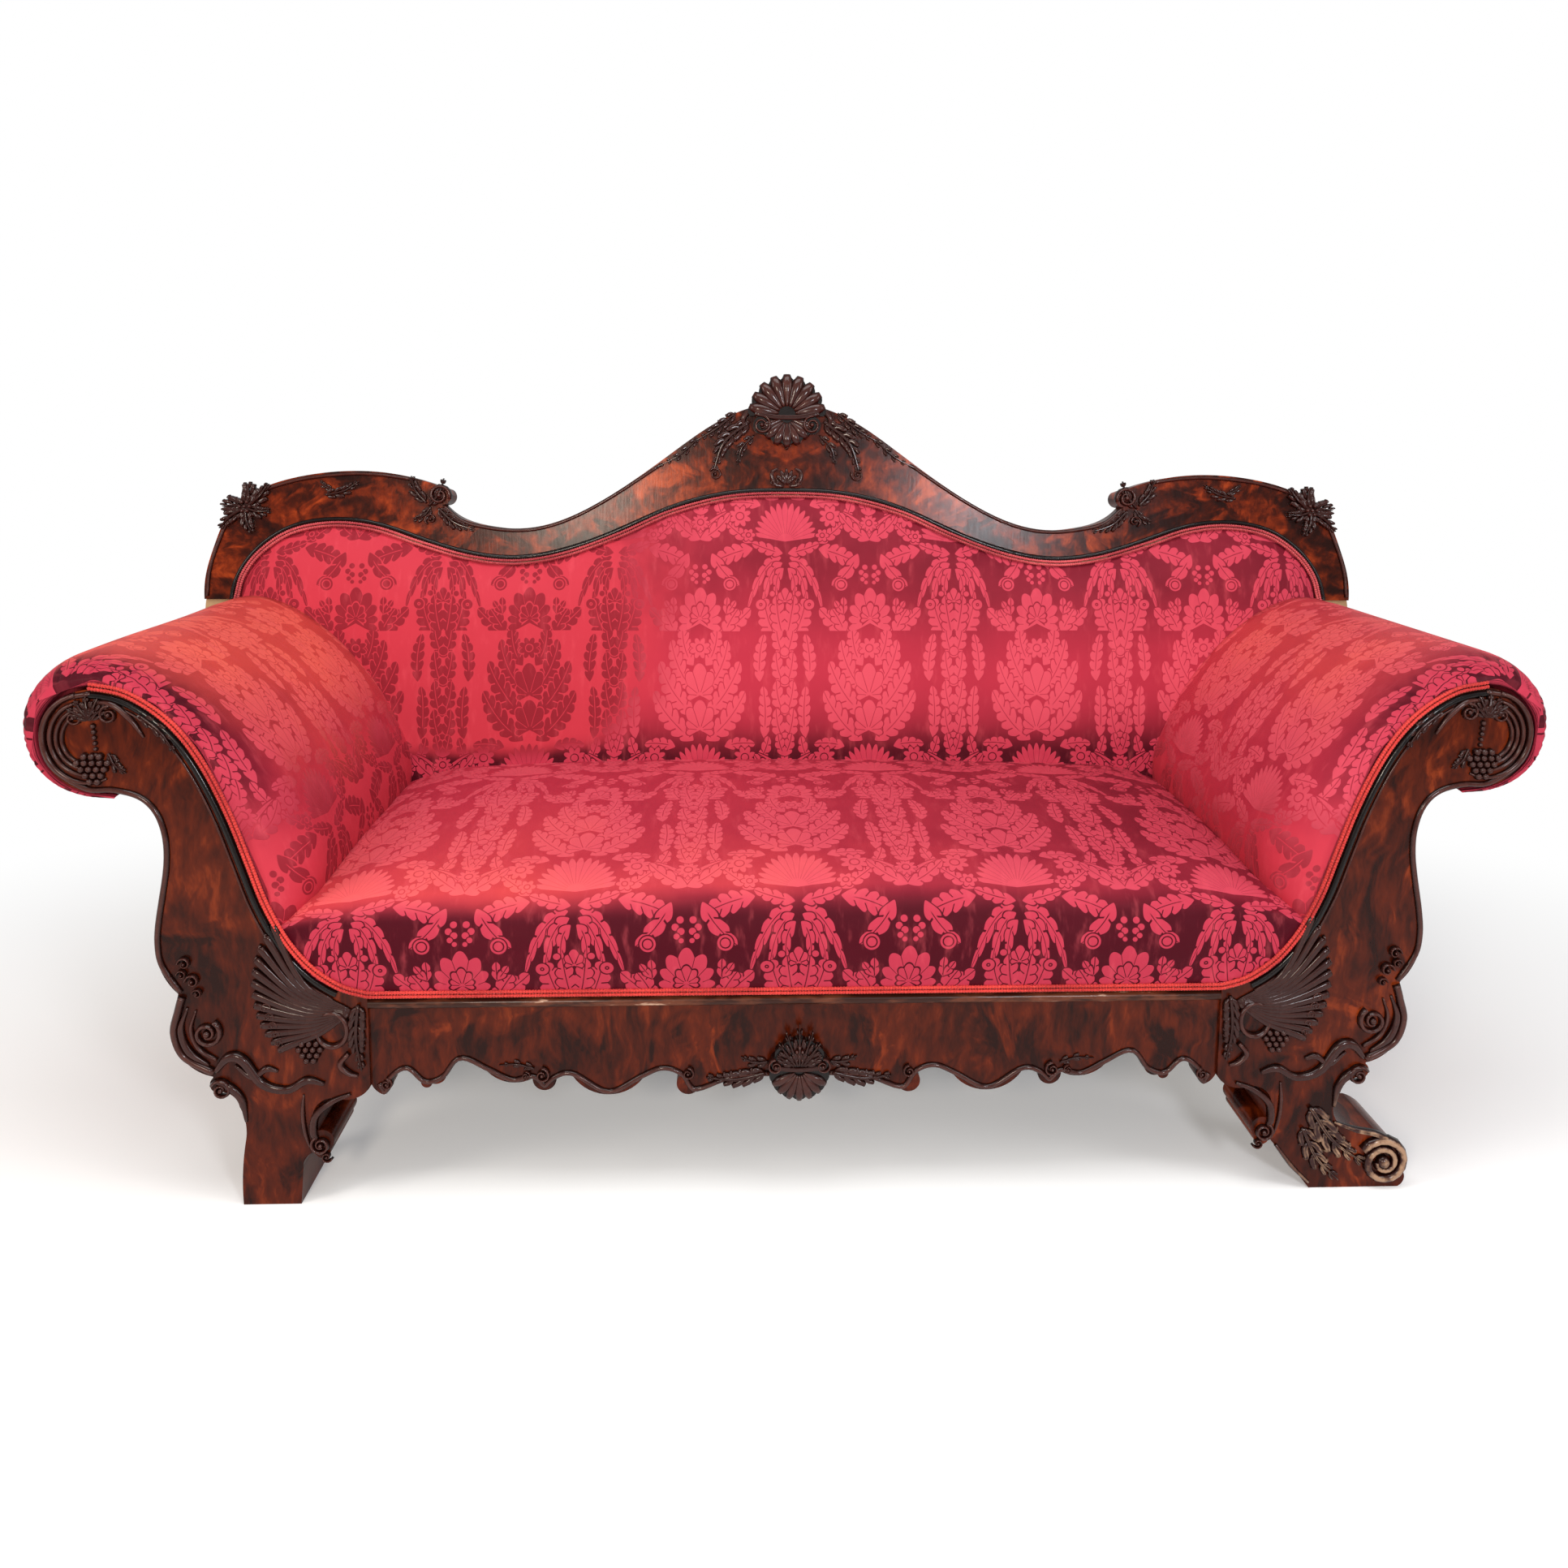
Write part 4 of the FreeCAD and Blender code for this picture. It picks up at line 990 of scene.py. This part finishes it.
# The seat: one tight sprung pad. The cover comes up the front, rolls over a stuffed edge and
# runs back under the arms and the back pad, crowned in both directions.
seat_profile = [(-1, 312), (-5, 328), (-10, 350), (-14, 376), (-14.5, 400), (-11, 424), (-2, 446), (10, 460),
                (26, 471), (50, 480), (90, 489), (150, 496), (230, 502), (330, 505), (430, 504), (520, 499),
                (590, 491)]
half_widths = [(312, 612), (324, 650), (352, 690), (394, 724), (440, 738)]
seat_lines = smooth(seat_profile, 120)
lengths = np.concatenate([[0], np.cumsum(np.linalg.norm(np.diff(seat_lines, axis=0), axis=1))])
columns = np.linspace(-1, 1, 181)
seat_rows, seat_marks, seat_casts = [], [], []
for share in columns:
    ring, marks, casts = [], [], []
    reach = abs(share)
    drop = 0.3 * min(reach / 0.82, 1) ** 2.2 + 0.7 * max((reach - 0.82) / 0.18, 0) ** 1.7
    for (y, z), run in zip(seat_lines, lengths):
        if z < 440 and y < 60:
            half_width = np.interp(z, *zip(*half_widths))
        else:
            half_width = np.interp(y, (0, 22, 60, 120), (738, 726, 706, 702))
        x = share * half_width
        edge = np.interp(y, (-15, 6, 60, 120, 220, 400, 590), (28, 42, 44, 48, 50, 52, 42))
        lift = np.interp(z, (312, 400, 460), (0, 0.45, 1))
        flat = 1 - max((reach - 0.62) / 0.38, 0) ** 1.6
        y_here = y * flat - (1 - flat) * 1.2 if y < 0 else y
        pucker = 1.2 * math.sin(x / 41) * math.exp(-((run - 118) / 40) ** 2)
        pucker *= 0.4 + 0.6 * math.sin(x / 130) ** 2
        pull = 3.0 * math.exp(-((x + 462) / 22) ** 2 - ((run - 152) / 16) ** 2)
        roll_line = 1.6 * math.exp(-((run - 172) / 26) ** 2)
        wave = 1.4 * math.sin(x / 190 + 0.6) * math.sin(run / 150)
        ring.append((x / 1000, (y_here + pucker * 0.5) / 1000 + front_plane,
                     (z - drop * edge * lift + (wave + pucker - roll_line) * lift - pull) / 1000))
        marks.append((x / 1000, run / 1000))
        # Painted light on the seat: a painted sheen lifts the top, more towards the left, with a warm painted
        # sheen behind the front edge; the front face keeps the dark ground.
        top = min(max((run - 118) / 52, 0), 1)
        left = min(max(0.5 - x / 1100, 0), 1)
        warm = top * (0.10 + 0.42 * left) * math.exp(-(run - 170) / 330)
        casts.append((top * (0.42 + 0.5 * left), 0.0, warm))
    last_x = share * 0.69
    ring += [(last_x, front_plane + 0.590, 0.44), (last_x, front_plane + 0.575, 0.318),
             (share * 0.606, front_plane + 0.012, 0.312)]
    seat_rows.append(ring)
    seat_marks.append(marks + [marks[-1]] * 2 + [marks[0]])
    seat_casts.append(casts + [casts[-1]] * 2 + [casts[0]])
damask = damask_cloth()
seat = skin_of(seat_rows, "seat_pad", damask, seat_marks, seat_casts)
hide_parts("seat_cover", "seat_stuffing")

# The arms: a hair-stuffed pad over each scroll. The cover is drawn over the front of the scroll
# in gathers, tacked beside the facing, and runs down inside to the seat.
arm_rim = [(738, 400), (752, 445), (768, 505), (790, 575), (818, 642), (846, 690), (880, 726), (925, 755),
           (970, 764), (1015, 752), (1043, 720), (1050, 688), (1042, 652), (1018, 624), (985, 608),
           (945, 603)]
arm_full = [(712, 400), (692, 445), (693, 505), (716, 565), (748, 627), (790, 682), (836, 730), (900, 775),
            (968, 798), (1030, 788), (1072, 752), (1085, 705), (1073, 655), (1038, 620), (990, 606),
            (948, 604)]
arm_core = [(925, 640), (880, 630), (830, 590), (795, 520), (775, 450), (765, 402)]
ends = np.concatenate([[0.6, 1.6, 3.2, 5.5, 8.5, 12.5, 18, 24, 31, 37.8, 38.2, 48, 58, 70, 84, 100],
                       np.linspace(125, 590, 22)])

gathers = 27


def arm_pad(side, name):
    rim_line, full_line = smooth(arm_rim, 150), smooth(arm_full, 150)
    rows, marks, casts = [], [], []
    run_out, last = np.zeros(150), None
    run_up = np.concatenate([[0], np.cumsum(np.linalg.norm(np.diff(full_line, axis=0), axis=1))])
    for y in ends:
        t = min((y + 2) / 92, 1.0)
        swell = math.sqrt(max(1 - (1 - t) ** 2, 0))
        line = rim_line + (full_line - rim_line) * swell
        along = np.gradient(line, axis=0)
        along /= np.linalg.norm(along, axis=1)[:, None]
        out = np.column_stack([-along[:, 1], along[:, 0]])
        if last is not None:
            run_out = run_out + np.hypot(np.linalg.norm(line - last[0], axis=1), y - last[1])
        last = line, y
        ring, mark, cast = [], [], []
        for k, (x, z) in enumerate(line):
            share = k / (len(line) - 1)
            strong = np.interp(share, (0.30, 0.48, 0.62, 0.95, 1.0), (0, 0.35, 1, 1, 0.3))
            fade = math.exp(-((y - 14) / 26) ** 2) * min(y / 5, 1)
            jitter = 0.6 * math.sin(share * 61 + 1.3 * side) + 0.4 * math.sin(share * 23)
            fold = math.sin(share * gathers * 2 * math.pi + jitter)
            crease = -(1 - abs(fold)) ** 1.5 * 4.5 * strong * fade
            lump = 1.2 * math.sin(y / 75 + 4 * share) * math.sin(share * 9 + side) * min(t, 1) - 0.6
            rear = -2.2 * math.exp(-((y - 575) / 30) ** 2)
            push = crease + lump * t + rear
            x_here, z_here = x + out[k, 0] * push, z + out[k, 1] * push
            ring.append((side * x_here / 1000, y / 1000 + front_plane, z_here / 1000))
            mark.append((side * run_out[k] / 1000 + 0.158, run_up[k] / 1000 + 0.02))
            # Painted light on the arm: each side has its own painted sheen, turn and warm sheen; the upper
            # part of the scroll's front is painted into shade, and so are the creases of the gathers.
            upper = min(max((share - 0.12) / 0.3, 0), 1)
            painted_crease_shade = crease * -0.2
            scroll_front_shade = math.exp(-max(y, 0) / 60)
            light, turned, lost, warm = (0.62, 0.75, 0.7, 0.72) if side < 0 else (0.80, 0.55, 0.5, 0.45)
            cast.append((light - scroll_front_shade * 0.75 * upper - painted_crease_shade, turned - lost * upper,
                         warm * upper * (1 - scroll_front_shade) - painted_crease_shade))
        for x, z in beside(rim_line, 2.5)[::-3] if y < 38 else smooth(arm_core, 50):
            ring.append((side * x / 1000, y / 1000 + front_plane, z / 1000))
            mark.append(mark[-1])
            cast.append(cast[-1])
        rows.append(ring)
        marks.append(mark)
        casts.append(cast)
    pad = skin_of(rows, name, damask, marks, casts)
    return pad


left_arm = arm_pad(-1, "arm_pad_left")
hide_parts("arm_cover_left", "arm_stuffing_left")
right_arm = arm_pad(1, "arm_pad_right")
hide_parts("arm_cover_right", "arm_stuffing_right")

# The back: a thin tight pad inside the show-wood, shaped like the opening, its lower corners
# tucked behind the arms and its foot behind the seat.
arm_side = [(690, 435), (692, 505), (714, 565), (748, 629), (790, 684), (836, 732), (900, 777), (968, 797),
            (1040, 792)]
panel_edge = beside(whole_opening, 15)
top_x, top_z = panel_edge[:, 0], panel_edge[:, 1]
side_x, side_z = zip(*[(x + 12, z - 12) for x, z in arm_side])
back_rows, back_marks, back_casts = [], [], []
span = 1017.0
for x in np.linspace(-span, span, 241):
    top = np.interp(x, top_x, top_z)
    foot = 437 if abs(x) < 702 else np.interp(abs(x), side_x, side_z)
    top = max(top, foot + 2)
    ring, mark, cast = [], [], []
    for share in 1 - (1 - np.linspace(0, 1, 56)) ** 1.5:
        z = foot + (top - foot) * share
        gap = np.min(np.hypot(panel_edge[:, 0] - x, panel_edge[:, 1] - z))
        rise = 4 + 38 * (1 - math.exp(-gap / 38))
        rise += 1.0 * math.sin(x / 160 + 1) * math.sin(z / 90) * min(gap / 60, 1)
        rise += 1.3 * math.sin(x / 17) * math.exp(-gap / 16) * 0.35
        ring.append(on_back(x / 1000, rise / 1000, z / 1000, back_plane))
        mark.append((x / 1000 + 0.158, z / 1000 - 0.45 + 0.168))
        # Painted light on the back: painted shade along its foot where it meets the seat, a painted sheen
        # across the middle height, a little less of it to the right, and on the left a painted sheen that
        # swaps figure and ground.
        low = math.exp(-((z - 437) / 78) ** 2)
        middle = math.exp(-((z - 640) / 115) ** 2)
        right = min(max(x / 700, 0), 1)
        left = min(max(-x / 420 - 0.1, 0), 1)
        cast.append((0.42 + 0.50 * middle - 0.8 * low - 0.12 * right, left * (1 - low), 0.0))
    ring.append(on_back(x / 1000, 0.003, top / 1000, back_plane))
    ring.append(on_back(x / 1000, 0.003, foot / 1000, back_plane))
    back_rows.append(ring)
    back_marks.append(mark + [mark[-1], mark[0]])
    back_casts.append(cast + [cast[-1], cast[0]])
back = skin_of(back_rows, "back_pad", damask, back_marks, back_casts)
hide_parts("back_cover", "back_stuffing")


# Outside covers: a plain red cotton stretched over the rear of the frame and the outer sides of
# the arms, and black cotton under the seat, all tacked along their edges.
def plain_cloth(name, dark, light):
    cloth = Finish(name, 0.7, sheen=0.15)
    x, y, z = cloth.split(cloth.place())
    weave = ((x + y) * (2 * math.pi / 0.0016)).sine() * (z * (2 * math.pi / 0.0016)).sine()
    cloud = cloth.noise(cloth.place(), 5.0, 4.0)
    return cloth.done(cloth.mix(cloud.step(0.3, 0.7), dark, light), None, weave + cloud * 2, 0.0003)


dress(plain_cloth("outside_cotton", (0.20, 0.014, 0.026), (0.28, 0.022, 0.036)), "outside_back_cover",
      *both("outside_arm_cover"))
dress(plain_cloth("bottom_cotton", (0.010, 0.010, 0.011), (0.022, 0.021, 0.022)), "dust_cover")
